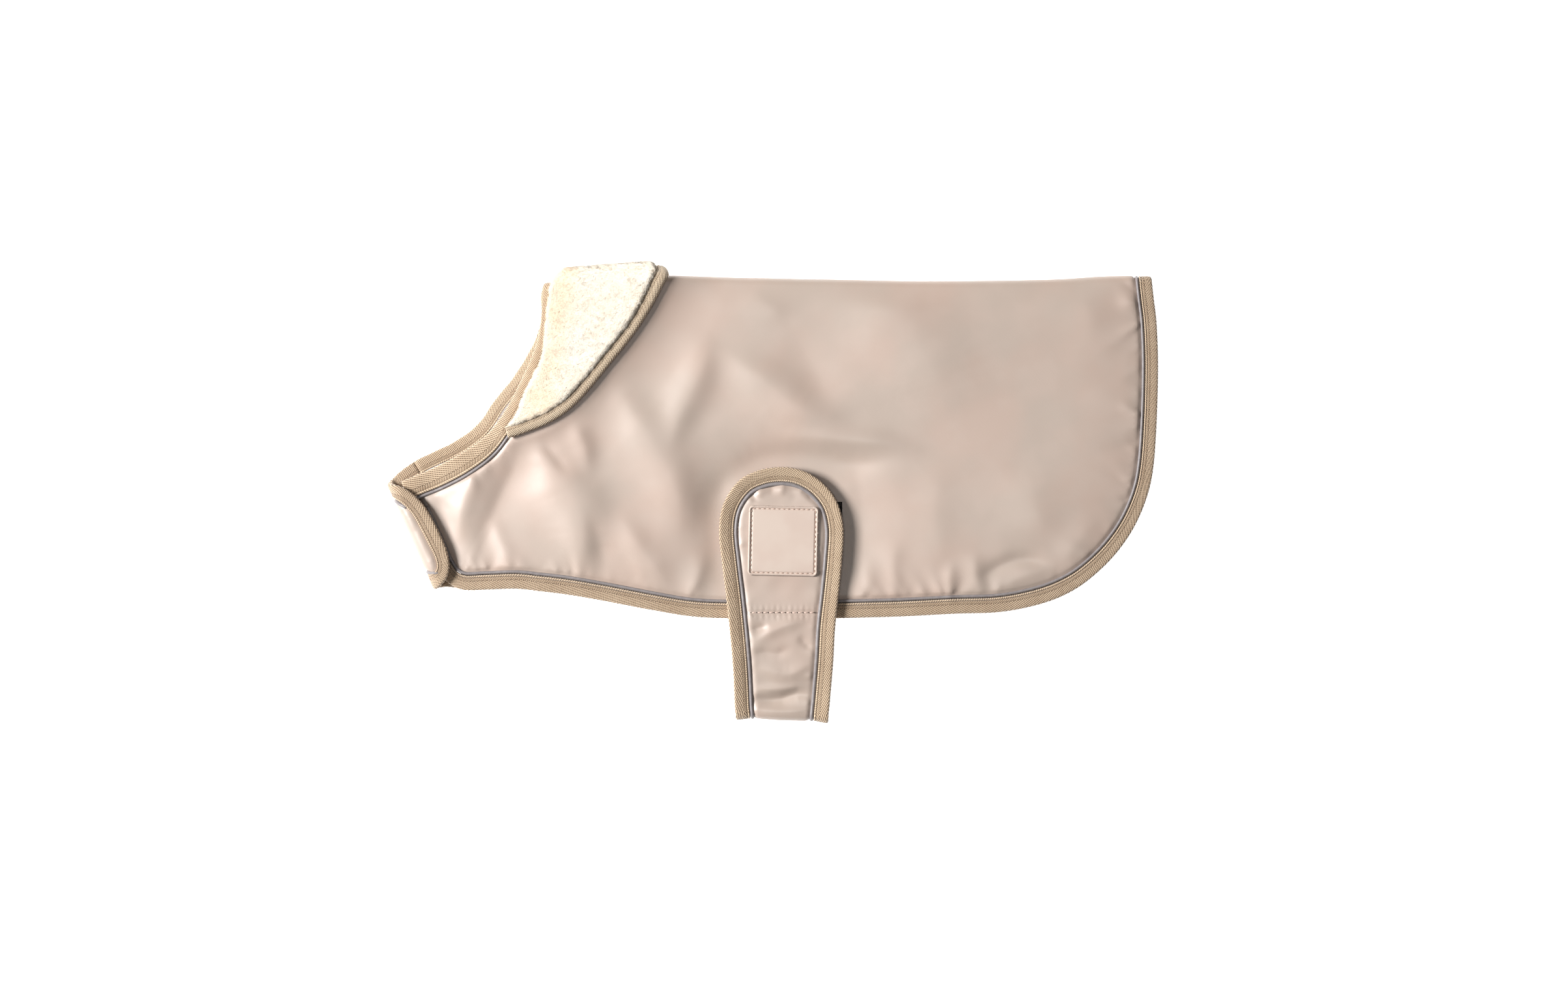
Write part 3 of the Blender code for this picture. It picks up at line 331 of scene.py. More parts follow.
# the same beside the pieces that press on the cloth
besideFolds = [
    # sinking towards the strap's end, and down both its sides
    ([(-34, -4), (-14, 13), (14, 16), (40, 15), (76, 18)], (8, 10, 7), -3.2),
    ([(44, 34), (51, -2), (52, -28), (48, -74)], (7, 8, 7), -1.1, 3.4),
    ([(-24, 20), (-29, 0), (-29, -28), (-26, -68)], (8, 9, 8), -2.4),
    # past the flap
    ([(-200, 16), (-193, -6), (-185, -26), (-179, -62)], (6, 8, 8), -2.0),
]
foldShape = {
    "step": 6.0,  # mm between the points of a crest
    "leftShare": 0.9,  # of the spread, where a fold doesn't end with its own
    "round": 1.7,  # a bell's power: 2 is round, 1 a ridge
    "dieOut": 0.4,  # share of its length in which a fold swells, and dies out again
}
# how high the near half stands between the spine and its hem, and how far that takes to rise
pillow = {"high": 2.4, "fromSpine": 26.0, "fromHem": 42.0, "fromPressed": 36.0, "hemTape": 9.0}
# how far the cloth's slack lets folds rise and sink, and its faint unevenness
slack = {"soft": 3.0, "over": 4.0, "under": 2.2, "fromCrease": 18.0, "faint": 0.12}


def collarRise(x, y):
    # steepest right beside the collar
    outside = gapOutside(x, y, collarArea) - coat["collarMargin"]
    return coat["collarLift"] * np.clip(1 - outside / coat["collarFall"], 0.0, 1.0) ** 2


def calm(x, y, reach=18.0):
    # 0 where something presses the cloth flat
    closest = np.minimum(gapOutside(x, y, strapArea), gapOutside(x, y, flapArea))
    return ease(np.minimum(closest, gapOutside(x, y, collarArea)), 0.5, reach)


def spotAt(path, run, at):
    return np.column_stack([np.interp(at, run, path[:, k]) for k in (0, 1)])


def foldHeight(x, y, folds):
    # ridges and troughs that swell from nothing and die out again
    total = np.zeros(np.size(x))
    spots = np.column_stack([np.ravel(x), np.ravel(y)])
    for crest, spreads, rise, *side in folds:
        path = smoothPath(crest, foldShape["step"])
        run = runAlong(path)
        gap, place = nearestOn(spots, path)
        behind, on, ahead = (spotAt(path, run, at) for at in (place - 1, place, place + 1))
        way, off = ahead - behind, spots - on
        leftHand = way[:, 0] * off[:, 1] - way[:, 1] * off[:, 0] > 0
        share = place / run[-1]
        left = (*side, foldShape["leftShare"])[0]
        spread = np.interp(share, (0, 0.5, 1), spreads) * np.where(leftHand, left, 1.0)
        swell = ease(share, 0.0, foldShape["dieOut"]) * (1 - ease(share, 1 - foldShape["dieOut"], 1.0))
        total += rise * swell * np.exp(-((gap / spread) ** foldShape["round"]))
    return total.reshape(np.shape(x))


def rounded(gap, reach):
    # 0 to 1, steepest at the start
    return 1 - (1 - np.clip(gap / reach, 0.0, 1.0)) ** 2


def roundEdge(gap, reach, least=0.0):
    # 0 to 1 like a quarter circle
    return np.sqrt(np.clip(rounded(gap, reach), least, 1.0))


def loft(x, y):
    # the near half stands up like a thin pillow between the spine and its hem
    spots = np.column_stack([np.ravel(x), np.ravel(y)])
    fromRim = nearestOn(spots, smoothPath(hemRows, 10.0))[0].reshape(np.shape(x)) - pillow["hemTape"]
    full = rounded(spineY(x) - y, pillow["fromSpine"]) * rounded(fromRim, pillow["fromHem"])
    return pillow["high"] * full * calm(x, y, pillow["fromPressed"])


def coatLift(x, y, u):
    turned = ease(u, coatFold.turn, slack["fromCrease"])
    ridges = foldHeight(x, y, [fold for fold in nearFolds if fold[2] > 0])
    hollows = foldHeight(x, y, [fold for fold in nearFolds if fold[2] < 0] + besideFolds)
    ridges = ridges + slack["faint"] * ripples(x, y, 4, 9, 110.0, 55.0)
    relief = (ridges * calm(x, y) + hollows) * turned + loft(x, y) * (u > 0)
    # no higher than the cloth's slack lets it, and no lower than the far half
    soft, over, under = slack["soft"], slack["over"], slack["under"]
    relief = np.where(relief > soft, soft + over * np.tanh((relief - soft) / over), relief)
    relief = np.where(relief < 0.0, under * np.tanh(relief / under), relief)
    return collarRise(x, y) + relief


def strapLift(x, y, u):
    climb = strap["climb"] * ease(y, strap["climbFrom"], strap["climbTo"])
    overHooks = strap["hookStep"] * ease(y, strap["hookFrom"], strap["hookTo"])
    return np.where(u > 0, climb + overHooks, 0.0)


def noLift(x, y, u):
    return 0.0


coatRadius = (coat["layerGap"] + coat["wall"]) / 2
collarRadius = coatRadius + coat["wall"] / 2 + coat["tapeProud"] + collar["clear"] + collar["pile"] / 2
spineY = heightOf(spineRows)
rollY = heightOf(collarRollRows)
strapFoldY = heightOf(strapFoldRows)
flapLength = math.dist(flap["foldTop"], flap["foldLow"])
flapAlong = tuple((b - a) / flapLength for a, b in zip(flap["foldTop"], flap["foldLow"]))
flapIn = (-flapAlong[1], flapAlong[0])

coatFold = Fold((0, 0), (1, 0), (0, -1), lambda w: -spineY(w), coatRadius, coat["wall"], coatLift)
collarFold = Fold((0, 0), (1, 0), (0, -1), lambda w: -rollY(w), collarRadius, collar["pile"], noLift)
strapFold = Fold((0, 0), (1, 0), (0, 1), strapFoldY, coatRadius, coat["wall"], strapLift)
flapFold = Fold(flap["foldTop"], flapAlong, flapIn, lambda w: 0 * w, flap["radius"], coat["wall"], noLift)


# node helpers
def addNode(tree, kind, inputs=None, **settings):
    node = tree.nodes.new(kind)
    for name, value in settings.items():
        setattr(node, name, value)
    for name, value in (inputs or {}).items():
        if isinstance(value, bpy.types.NodeSocket):
            tree.links.new(value, node.inputs[name])
        else:
            node.inputs[name].default_value = value
    return node


def mathsNode(operation):
    # a maths node as a plain function of its values
    def made(tree, *values):
        return addNode(tree, "ShaderNodeMath", dict(enumerate(values)), operation=operation).outputs[0]
    return made


add, less, times, most, sine, unsigned = (
    mathsNode(word) for word in ("ADD", "SUBTRACT", "MULTIPLY", "MAXIMUM", "SINE", "ABSOLUTE")
)


def between(tree, value, low, high, toLow=0.0, toHigh=1.0):
    sent = {"Value": value, "From Min": low, "From Max": high, "To Min": toLow, "To Max": toHigh}
    return addNode(tree, "ShaderNodeMapRange", sent, interpolation_type="SMOOTHSTEP").outputs[0]


def blendOf(tree, factor, a, b):
    node = addNode(tree, "ShaderNodeMix", data_type="RGBA")
    for name, value in (("Factor_Float", factor), ("A_Color", a), ("B_Color", b)):
        socket = next(s for s in node.inputs if s.identifier == name)
        if isinstance(value, bpy.types.NodeSocket):
            tree.links.new(value, socket)
        else:
            socket.default_value = value if isinstance(value, float) else (*value, 1.0)
    return next(s for s in node.outputs if s.identifier == "Result_Color")


def noiseOf(tree, where, scale, detail=2.0, roughness=0.5):
    sent = {"Vector": where, "Scale": scale, "Detail": detail, "Roughness": roughness}
    return addNode(tree, "ShaderNodeTexNoise", sent).outputs["Fac"]


def newLook(name, roughness, sheen=0.0, **more):
    look = bpy.data.materials.new(name)
    look.use_nodes = True
    shader = look.node_tree.nodes["Principled BSDF"]
    shader.inputs["Roughness"].default_value = roughness
    shader.inputs["Sheen Weight"].default_value = sheen
    for socket, value in more.items():
        shader.inputs[socket.replace("_", " ")].default_value = value
    return look, look.node_tree, shader


def uvOf(tree, name):
    node = addNode(tree, "ShaderNodeUVMap", uv_map=name)
    apart = addNode(tree, "ShaderNodeSeparateXYZ", {0: node.outputs[0]})
    return node.outputs[0], apart.outputs[0], apart.outputs[1]


def bumpOf(tree, shader, height, strength, distance):
    sent = {"Height": height, "Strength": strength, "Distance": distance}
    bump = addNode(tree, "ShaderNodeBump", sent)
    tree.links.new(bump.outputs[0], shader.inputs["Normal"])


def linear(r, g, b):
    # a colour read off the screen, 0 to 255, as the shader wants it
    return tuple(((c / 255 + 0.055) / 1.055) ** 2.4 if c > 10 else c / 255 / 12.92 for c in (r, g, b))


# finishes
satin = {
    "pinkish": linear(187, 165, 151),
    "greyish": linear(182, 165, 152),
    "pale": linear(190, 171, 158),
    "roughness": 0.46,
    "roughRange": (-0.01, 0.02),
    "shine": 0.9,
    "sheen": 0.1,
    # noise scales for each mm of cloth
    "clouds": 0.018,
    "palerClouds": 0.045,
    "palerShare": 0.45,
    "wear": 0.35,
    "specks": 2.6,
    # the weave: mm between its fine diagonal lines, how strong lines and specks are
    "twillPitch": 0.6,
    "lineShare": 0.42,
    "speckShare": 0.8,
    "weaveDark": 0.72,
    "bump": (0.10, 0.0002),
}


def makeSatin(name, shade=1.0):
    look, tree, shader = newLook(
        name, satin["roughness"], satin["sheen"], Sheen_Roughness=0.35, Specular_IOR_Level=satin["shine"]
    )
    where, along, across = uvOf(tree, "clothMap")
    pinkish, greyish, pale = (tuple(shade * c for c in satin[k]) for k in ("pinkish", "greyish", "pale"))
    cloudy = between(tree, noiseOf(tree, where, satin["clouds"], 3.0, 0.45), 0.38, 0.62)
    paler = between(tree, noiseOf(tree, where, satin["palerClouds"], 2.0, 0.5), 0.42, 0.68)
    colour = blendOf(tree, cloudy, greyish, pinkish)
    colour = blendOf(tree, times(tree, paler, satin["palerShare"]), colour, pale)
    # the weave: fine diagonal lines, a little uneven
    diagonal = times(tree, less(tree, along, across), 2 * math.pi / satin["twillPitch"] * 0.7071)
    lines = sine(tree, add(tree, diagonal, times(tree, noiseOf(tree, where, 0.8), 3.0)))
    specks = noiseOf(tree, where, satin["specks"], 3.0, 0.65)
    weave = add(tree, times(tree, lines, satin["lineShare"]), times(tree, specks, satin["speckShare"]))
    darker = tuple(satin["weaveDark"] * c for c in pinkish)
    colour = blendOf(tree, between(tree, weave, 0.1, 0.95, 0.0, 0.10), colour, darker)
    tree.links.new(colour, shader.inputs["Base Color"])
    smoothest, roughest = (satin["roughness"] + more for more in satin["roughRange"])
    worn = between(tree, noiseOf(tree, where, satin["wear"], 3.0), 0.3, 0.7, smoothest, roughest)
    tree.links.new(worn, shader.inputs["Roughness"])
    bumpOf(tree, shader, weave, *satin["bump"])
    return look


tape = {
    "holes": linear(92, 68, 47),
    # the long ribs of the outer zone: how far they lean, mm from rib to rib and between holes
    "outerLean": math.radians(24),
    "outerPitch": 0.95,
    "outerDots": 1.25,
    "apex": 0.62,  # share of the width where the two zones meet
    "groove": 0.845,
    "bead": 0.87,
    "typicalWidth": 8.4,
    "innerLean": math.radians(-50),
    "innerPitch": 0.8,
    "innerDots": 0.9,
    "ropeLean": math.radians(58),
    "ropePitch": 1.15,
    "apexPitch": 1.1,
    "bump": (0.75, 0.0004),
}


def makeTape(name, light, dark):
    look, tree, shader = newLook(name, 0.78, 0.35, Sheen_Roughness=0.5)
    where, along, share = uvOf(tree, "tapeMap")
    across = times(tree, share, tape["typicalWidth"])

    def waves(lean, pitch):
        # rows at an angle to the tape's length
        a = times(tree, along, math.sin(lean) * 2 * math.pi / pitch)
        b = times(tree, across, math.cos(lean) * 2 * math.pi / pitch)
        return sine(tree, less(tree, a, b))

    def dots(lean, pitch):
        a = times(tree, along, math.cos(lean) * 2 * math.pi / pitch)
        b = times(tree, across, math.sin(lean) * 2 * math.pi / pitch)
        return sine(tree, add(tree, a, b))

    def nearShare(middle, inner, outer):
        return between(tree, unsigned(tree, less(tree, share, middle)), inner, outer, 1.0, 0.0)

    outerRibs, innerRibs, rope = (
        waves(tape[zone + "Lean"], tape[zone + "Pitch"]) for zone in ("outer", "inner", "rope")
    )
    outerDots, innerDots = (dots(tape[zone + "Lean"], tape[zone + "Dots"]) for zone in ("outer", "inner"))
    apexDots = sine(tree, times(tree, along, 2 * math.pi / tape["apexPitch"]))
    # 1 in the inner zone, on the selvage bead, at the apex and in the groove
    inner = between(tree, share, tape["apex"] - 0.02, tape["apex"] + 0.02)
    bead = between(tree, share, tape["bead"] - 0.01, tape["bead"] + 0.02)
    apex, groove = nearShare(tape["apex"], 0.015, 0.045), nearShare(tape["groove"], 0.008, 0.03)

    def choose(factor, a, b):
        return addNode(tree, "ShaderNodeMix", {0: factor, 2: a, 3: b}, data_type="FLOAT").outputs[0]

    ribs = choose(bead, choose(inner, outerRibs, innerRibs), rope)
    spots = choose(inner, outerDots, innerDots)
    # holes lie between the ribs
    low = between(tree, ribs, -0.15, -0.95)
    holes = times(tree, low, between(tree, spots, 0.0, 0.85))
    holes = times(tree, holes, less(tree, 1.0, bead))
    apexHoles = times(tree, apex, between(tree, apexDots, 0.0, 0.8))
    holes = most(tree, holes, apexHoles)
    holes = most(tree, holes, times(tree, groove, 0.75))
    rough = noiseOf(tree, where, 1.9, 3.0, 0.7)
    uneven = between(tree, noiseOf(tree, where, 0.06, 2.0), 0.3, 0.7)
    tone = add(tree, times(tree, ribs, 0.32), times(tree, rough, 0.85))
    tone = add(tree, tone, times(tree, bead, 0.18))
    tone = add(tree, tone, times(tree, uneven, 0.12))
    tone = less(tree, tone, times(tree, less(tree, inner, bead), 0.12))
    colour = blendOf(tree, between(tree, tone, 0.0, 0.95), dark, light)
    colour = blendOf(tree, times(tree, holes, 0.85), colour, tape["holes"])
    tree.links.new(colour, shader.inputs["Base Color"])
    tree.links.new(between(tree, tone, 0.0, 1.0, 0.86, 0.68), shader.inputs["Roughness"])
    height = less(tree, times(tree, ribs, 0.35), times(tree, holes, 0.9))
    height = add(tree, height, times(tree, rough, 0.4))
    bumpOf(tree, shader, height, *tape["bump"])
    return look


pipingCloth = {
    "dark": linear(128, 121, 121),
    "light": linear(142, 135, 134),
    "glint": linear(162, 155, 154),
    "glintShare": 0.25,
    "pitch": 0.9,  # mm between the faint ribs across the cord
    "bump": (0.12, 0.0002),
}


def makePiping():
    look, tree, shader = newLook("greyPiping", 0.42, 0.1)
    where, along, _ = uvOf(tree, "tapeMap")
    drift = between(tree, noiseOf(tree, where, 0.3, 3.0), 0.3, 0.7)
    grain = noiseOf(tree, where, 4.0, 2.0, 0.6)
    colour = blendOf(tree, drift, pipingCloth["dark"], pipingCloth["light"])
    glints = between(tree, grain, 0.4, 0.8, 0.0, pipingCloth["glintShare"])
    colour = blendOf(tree, glints, colour, pipingCloth["glint"])
    tree.links.new(colour, shader.inputs["Base Color"])
    tree.links.new(between(tree, grain, 0.3, 0.7, 0.36, 0.5), shader.inputs["Roughness"])
    cross = sine(tree, times(tree, along, 2 * math.pi / pipingCloth["pitch"]))
    bumpOf(tree, shader, add(tree, grain, times(tree, cross, 0.2)), *pipingCloth["bump"])
    return look


fur = {
    "tip": linear(246, 240, 228),
    # the strands' colour at their roots, darker: painted shade where they shade each other
    "root": linear(236, 216, 188),
    "warmShadeTone": linear(244, 223, 192),
    "strands": 60000,  # in each of two layers
    "farStrands": 15000,
    "overCrease": 6.0,  # the near half's strands go this far round the crease
    "width": 0.17,
    "length": (2.4, 4.6),
    "tufts": 900,
    "lean": (-0.5, 0.45),
    "tuftLean": 0.35,
    "ownLean": 0.35,
    "reach": 0.62,  # how far a tip lies from its root, as a share of its length and lean
    "drawBack": 0.6,  # what is left of the lean of a strand that reaches too far, each time
    "gather": 0.2,  # how far tips draw together in a tuft
    "softness": 0.28,  # how far a strand's own lean turns its shading
    # painted shade: a warmer band where the roll is shaded, in metres: where it crosses the x axis, how far
    # it leans, its half width
    "bandAt": -0.142,
    "bandLean": 0.17,
    "bandFade": (0.002, 0.015),
    "paintedShadeShare": 0.6,
    "patchShare": 0.25,
    "grain": 900.0,
    "bump": (0.3, 0.0004),
}


def makeFur(name):
    look, tree, shader = newLook(name, 0.85, 0.5, Sheen_Roughness=0.45)
    _, chance, share = uvOf(tree, "strandMap")
    place = addNode(tree, "ShaderNodeTexCoord").outputs["Object"]
    apart = addNode(tree, "ShaderNodeSeparateXYZ", {0: place})
    # painted shade: the roll left of the middle is shaded, so a band there is coloured warmer than the rest
    leaning = less(tree, apart.outputs[0], times(tree, apart.outputs[1], fur["bandLean"]))
    far = unsigned(tree, less(tree, leaning, fur["bandAt"]))
    band = between(tree, far, *fur["bandFade"], 1.0, 0.0)
    patchy = between(tree, noiseOf(tree, place, 70.0, 3.0), 0.35, 0.65)
    # painted shade in the band, plus warm patches at random
    shadeAndPatches = add(tree, times(tree, band, fur["paintedShadeShare"]), times(tree, patchy, fur["patchShare"]))
    # painted shade: each strand darker towards its root, where the strands shade each other
    colour = blendOf(tree, between(tree, share, 0.0, 0.75), fur["root"], fur["tip"])
    colour = blendOf(tree, times(tree, shadeAndPatches, 0.85), colour, fur["warmShadeTone"])
    colour = blendOf(tree, between(tree, chance, 0.0, 1.0, 0.0, 0.16), colour, fur["root"])
    tree.links.new(colour, shader.inputs["Base Color"])
    tree.links.new(between(tree, share, 0.0, 1.0, 0.95, 0.7), shader.inputs["Roughness"])
    bumpOf(tree, shader, noiseOf(tree, place, fur["grain"], 3.0), *fur["bump"])
    return look


rubber = {
    "pale": linear(204, 186, 173),
    "pink": linear(200, 180, 167),
    "edge": linear(212, 196, 183),
    "grain": 3.2,  # noise scale for each mm
    "bump": (0.1, 0.0002),
}


def makeRubber():
    look, tree, shader = newLook("paleRubber", 0.5, 0.05)
    where = uvOf(tree, "clothMap")[0]
    cloudy = between(tree, noiseOf(tree, where, 0.05, 2.0), 0.35, 0.65)
    grain = noiseOf(tree, where, rubber["grain"], 4.0, 0.6)
    colour = blendOf(tree, cloudy, rubber["pale"], rubber["pink"])
    colour = blendOf(tree, between(tree, grain, 0.35, 0.7, 0.0, 0.12), colour, rubber["edge"])
    tree.links.new(colour, shader.inputs["Base Color"])
    tree.links.new(between(tree, grain, 0.3, 0.7, 0.44, 0.58), shader.inputs["Roughness"])
    bumpOf(tree, shader, grain, *rubber["bump"])
    return look


fineGrain = 900.0  # noise and wave scale for each metre, about 1 mm from one to the next


def makeThread(name, light, dark):
    look, tree, shader = newLook(name, 0.6, 0.3)
    place = addNode(tree, "ShaderNodeTexCoord").outputs["Object"]
    sent = {"Vector": place, "Scale": fineGrain, "Distortion": 2.0}
    twist = addNode(tree, "ShaderNodeTexWave", sent, bands_direction="DIAGONAL").outputs["Fac"]
    tree.links.new(blendOf(tree, twist, dark, light), shader.inputs["Base Color"])
    tree.links.new(between(tree, twist, 0.0, 1.0, 0.7, 0.5), shader.inputs["Roughness"])
    bumpOf(tree, shader, twist, 0.4, 0.0001)
    return look


def makeHooks():
    look, tree, shader = newLook("blackHooks", 0.62)
    place = addNode(tree, "ShaderNodeTexCoord").outputs["Object"]
    cells = addNode(tree, "ShaderNodeTexVoronoi", {"Vector": place, "Scale": fineGrain}).outputs["Distance"]
    colour = blendOf(tree, between(tree, cells, 0.1, 0.6), linear(52, 48, 46), linear(16, 15, 15))
    tree.links.new(colour, shader.inputs["Base Color"])
    tree.links.new(between(tree, cells, 0.0, 0.6, 0.45, 0.8), shader.inputs["Roughness"])
    bumpOf(tree, shader, cells, 0.8, 0.0006)
    return look


looks = {
    "satin": makeSatin("satinCloth"),
    # the same satin darkened for the faces inside the fold: painted shade
    "paintedShadeInside": makeSatin("satinPaintedShade", 0.55),
    "hemTape": makeTape("hemTapeWeave", linear(208, 184, 156), linear(149, 122, 96)),
    "paleTape": makeTape("paleTapeWeave", linear(214, 190, 161), linear(155, 128, 101)),
    "collarTape": makeTape("collarTapeWeave", linear(230, 210, 182), linear(170, 144, 116)),
    "piping": makePiping(),
    "fur": makeFur("creamPile"),
    "rubber": makeRubber(),
    "thread": makeThread("paleThread", linear(238, 214, 200), linear(200, 168, 152)),
    "labelThread": makeThread("labelThread", linear(196, 168, 152), linear(150, 122, 106)),
    "holes": makeThread("needleHoles", linear(96, 74, 62), linear(62, 46, 38)),
    "hooks": makeHooks(),
}
print("finishes made:", len(looks))


# mesh helpers
def makeMesh(name, points, faces, look, uvName=None, uvs=None, second=None, secondFrom=None, normals=None):
    mesh = bpy.data.meshes.new(name)
    mesh.from_pydata((np.asarray(points).reshape(-1, 3) * mm).tolist(), [], faces)
    mesh.materials.append(look)
    if second:
        mesh.materials.append(second)
        indices = np.zeros(len(mesh.polygons), np.int32)
        indices[secondFrom[0]:secondFrom[1]] = 1
        mesh.polygons.foreach_set("material_index", indices)
    if uvName:
        corners = np.zeros(len(mesh.loops), np.int32)
        mesh.loops.foreach_get("vertex_index", corners)
        layer = mesh.uv_layers.new(name=uvName)
        layer.data.foreach_set("uv", np.asarray(uvs, float).reshape(-1, 2)[corners].ravel())
    mesh.shade_smooth()
    if normals is not None:
        mesh.normals_split_custom_set_from_vertices(normals)
    piece = bpy.data.objects.new(name, mesh)
    bpy.context.scene.collection.objects.link(piece)
    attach(piece, "root")
    return piece


def standFor(node):
    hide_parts(node)


def spaced(path, side, nearStep, farStep, turn, bendStep=0.6):
    # rows of w, u, width, inward normal and run along the path, closer on the near layer
    run = runAlong(path)
    u = path[:, 1]
    step = np.where(u > turn + 1, nearStep, np.where(u < -turn - 1, farStep, bendStep))
    count = np.concatenate([[0], np.cumsum(np.diff(run) / ((step[1:] + step[:-1]) / 2))])
    at = np.interp(np.linspace(0, count[-1], max(3, round(count[-1]) + 1)), count, run)
    rows = np.column_stack([np.interp(at, run, path[:, k]) for k in range(path.shape[1])])
    # its direction, from a little behind to a little ahead
    ahead, behind = spotAt(path, run, at + 1.2), spotAt(path, run, at - 1.2)
    way = (ahead - behind) / np.maximum(np.linalg.norm(ahead - behind, axis=1), 1e-9)[:, None]
    return np.column_stack([rows, -side * way[:, 1], side * way[:, 0], at])


def shifted(rows, away):
    return rows[:, :2] + rows[:, 3:5] * np.broadcast_to(away, len(rows))[:, None]


# the tape's toothed outer edge: how far the ribs' ends stand out, mm between them, how far in it dies out
teeth = {"out": 0.09, "near": 1.7, "apart": 2.9, "deep": 0.12}
buttEnd = 0.05  # mm in which a strip that meets another one is rounded at its end


def makeStrip(name, fold, rows, shares, outs, lineAt, widthAt, look, tooth=0.0, roundEnds=1.2):
    # a strip along an edge; shares are across its width, in from its line, and outs off the cloth's middle
    count, sides = len(rows), len(shares)
    run = rows[:, 5]
    line = np.broadcast_to(lineAt, count)[:, None]
    width = np.broadcast_to(widthAt, count)[:, None]
    away = line + width * shares[None, :]
    if tooth:
        phase = run * 2 * math.pi
        wave = np.sin(phase / teeth["near"]) + 0.6 * np.sin(phase / teeth["apart"] + 1.0)
        away = away - tooth * wave[:, None] * np.clip(1 - shares / teeth["deep"], 0, 1)[None, :]
    toEnd = np.minimum(run - run[0], run[-1] - run)
    out = outs[None, :] * roundEdge(toEnd, roundEnds, 0.04)[:, None]
    w = rows[:, 0:1] + rows[:, 3:4] * away
    u = rows[:, 1:2] + rows[:, 4:5] * away
    points = fold.place(w, u, out)
    here = np.arange(count - 1)[:, None] * sides + np.arange(sides)[None, :]
    beside = np.arange(count - 1)[:, None] * sides + (np.arange(sides)[None, :] + 1) % sides
    quads = np.stack([here, beside, beside + sides, here + sides], axis=-1).reshape(-1, 4)
    lastEnd = list(range(count * sides - 1, (count - 1) * sides - 1, -1))
    faces = [*quads[:, ::-1].tolist(), list(range(sides)), lastEnd]
    uvs = np.stack(np.broadcast_arrays(run[:, None], shares[None, :]), axis=-1)
    return makeMesh(name, points, faces, look, "tapeMap", uvs)


def tapeSection(half, middle=0.0):
    # half the thickness across the tape: a rounded fold outside, a groove and a corded selvage inside
    profile = [
        (0.0, 0.0), (0.006, 0.36), (0.025, 0.62), (0.06, 0.84), (0.11, 0.96), (0.2, 1.0), (0.36, 1.0),
        (0.52, 0.98), (0.62, 0.93), (0.7, 0.95), (0.79, 0.92), (0.83, 0.82), (0.847, 0.76), (0.865, 0.84),
        (0.9, 0.97), (0.935, 1.0), (0.965, 0.9), (0.99, 0.68), (1.0, 0.4),
    ]
    top = [(share, middle + half * high) for share, high in profile]
    low = [(share, middle - half * high) for share, high in profile[:0:-1]]
    return tuple(np.array([*top, *low]).T)


def cordSection(half, thick, middle, sides=12):
    angle = (np.arange(sides) + 0.5) * 2 * math.pi / sides
    return -half * np.cos(angle), middle + thick * np.sin(angle)


def crossing(a, b, c, d):
    run, other = b - a, d - c
    turn = run[0] * other[1] - run[1] * other[0]
    if abs(turn) < 1e-12:
        return None
    t = ((c[0] - a[0]) * other[1] - (c[1] - a[1]) * other[0]) / turn
    s = ((c[0] - a[0]) * run[1] - (c[1] - a[1]) * run[0]) / turn
    return a + t * run if 0 <= t <= 1 and 0 <= s <= 1 else None


endRows = 40  # rows of a path that are looked at for a crossing with the next


def joined(first, second):
    # two paths as one, cut where the end of the first crosses the start of the second
    for i in range(len(first) - 2, max(-1, len(first) - endRows), -1):
        for j in range(min(len(second) - 1, endRows)):
            met = crossing(first[i], first[i + 1], second[j], second[j + 1])
            if met is not None:
                return np.vstack([first[: i + 1], met, second[j + 1 :]])
    return np.vstack([first, second])


def loopOf(*paths):
    whole = np.array(paths[0])
    for path in paths[1:]:
        whole = joined(whole, np.array(path))
    for i in range(len(whole) - 1, max(0, len(whole) - endRows), -1):
        for j in range(endRows):
            met = crossing(whole[i - 1], whole[i], whole[j], whole[j + 1])
            if met is not None:
                return np.vstack([met, whole[j + 1 : i]])
    return whole


def stretched(path, length):
    # carried straight on past both its ends
    def past(a, b):
        return b + (b - a) * length / np.linalg.norm(b - a)
    return np.vstack([past(path[1], path[0]), path, past(path[-2], path[-1])])


def turnedArea(loop):
    # more than 0 where the loop runs anticlockwise
    x, y = loop[:, 0], loop[:, 1]
    return np.sum(x * np.roll(y, -1) - y * np.roll(x, -1)) / 2


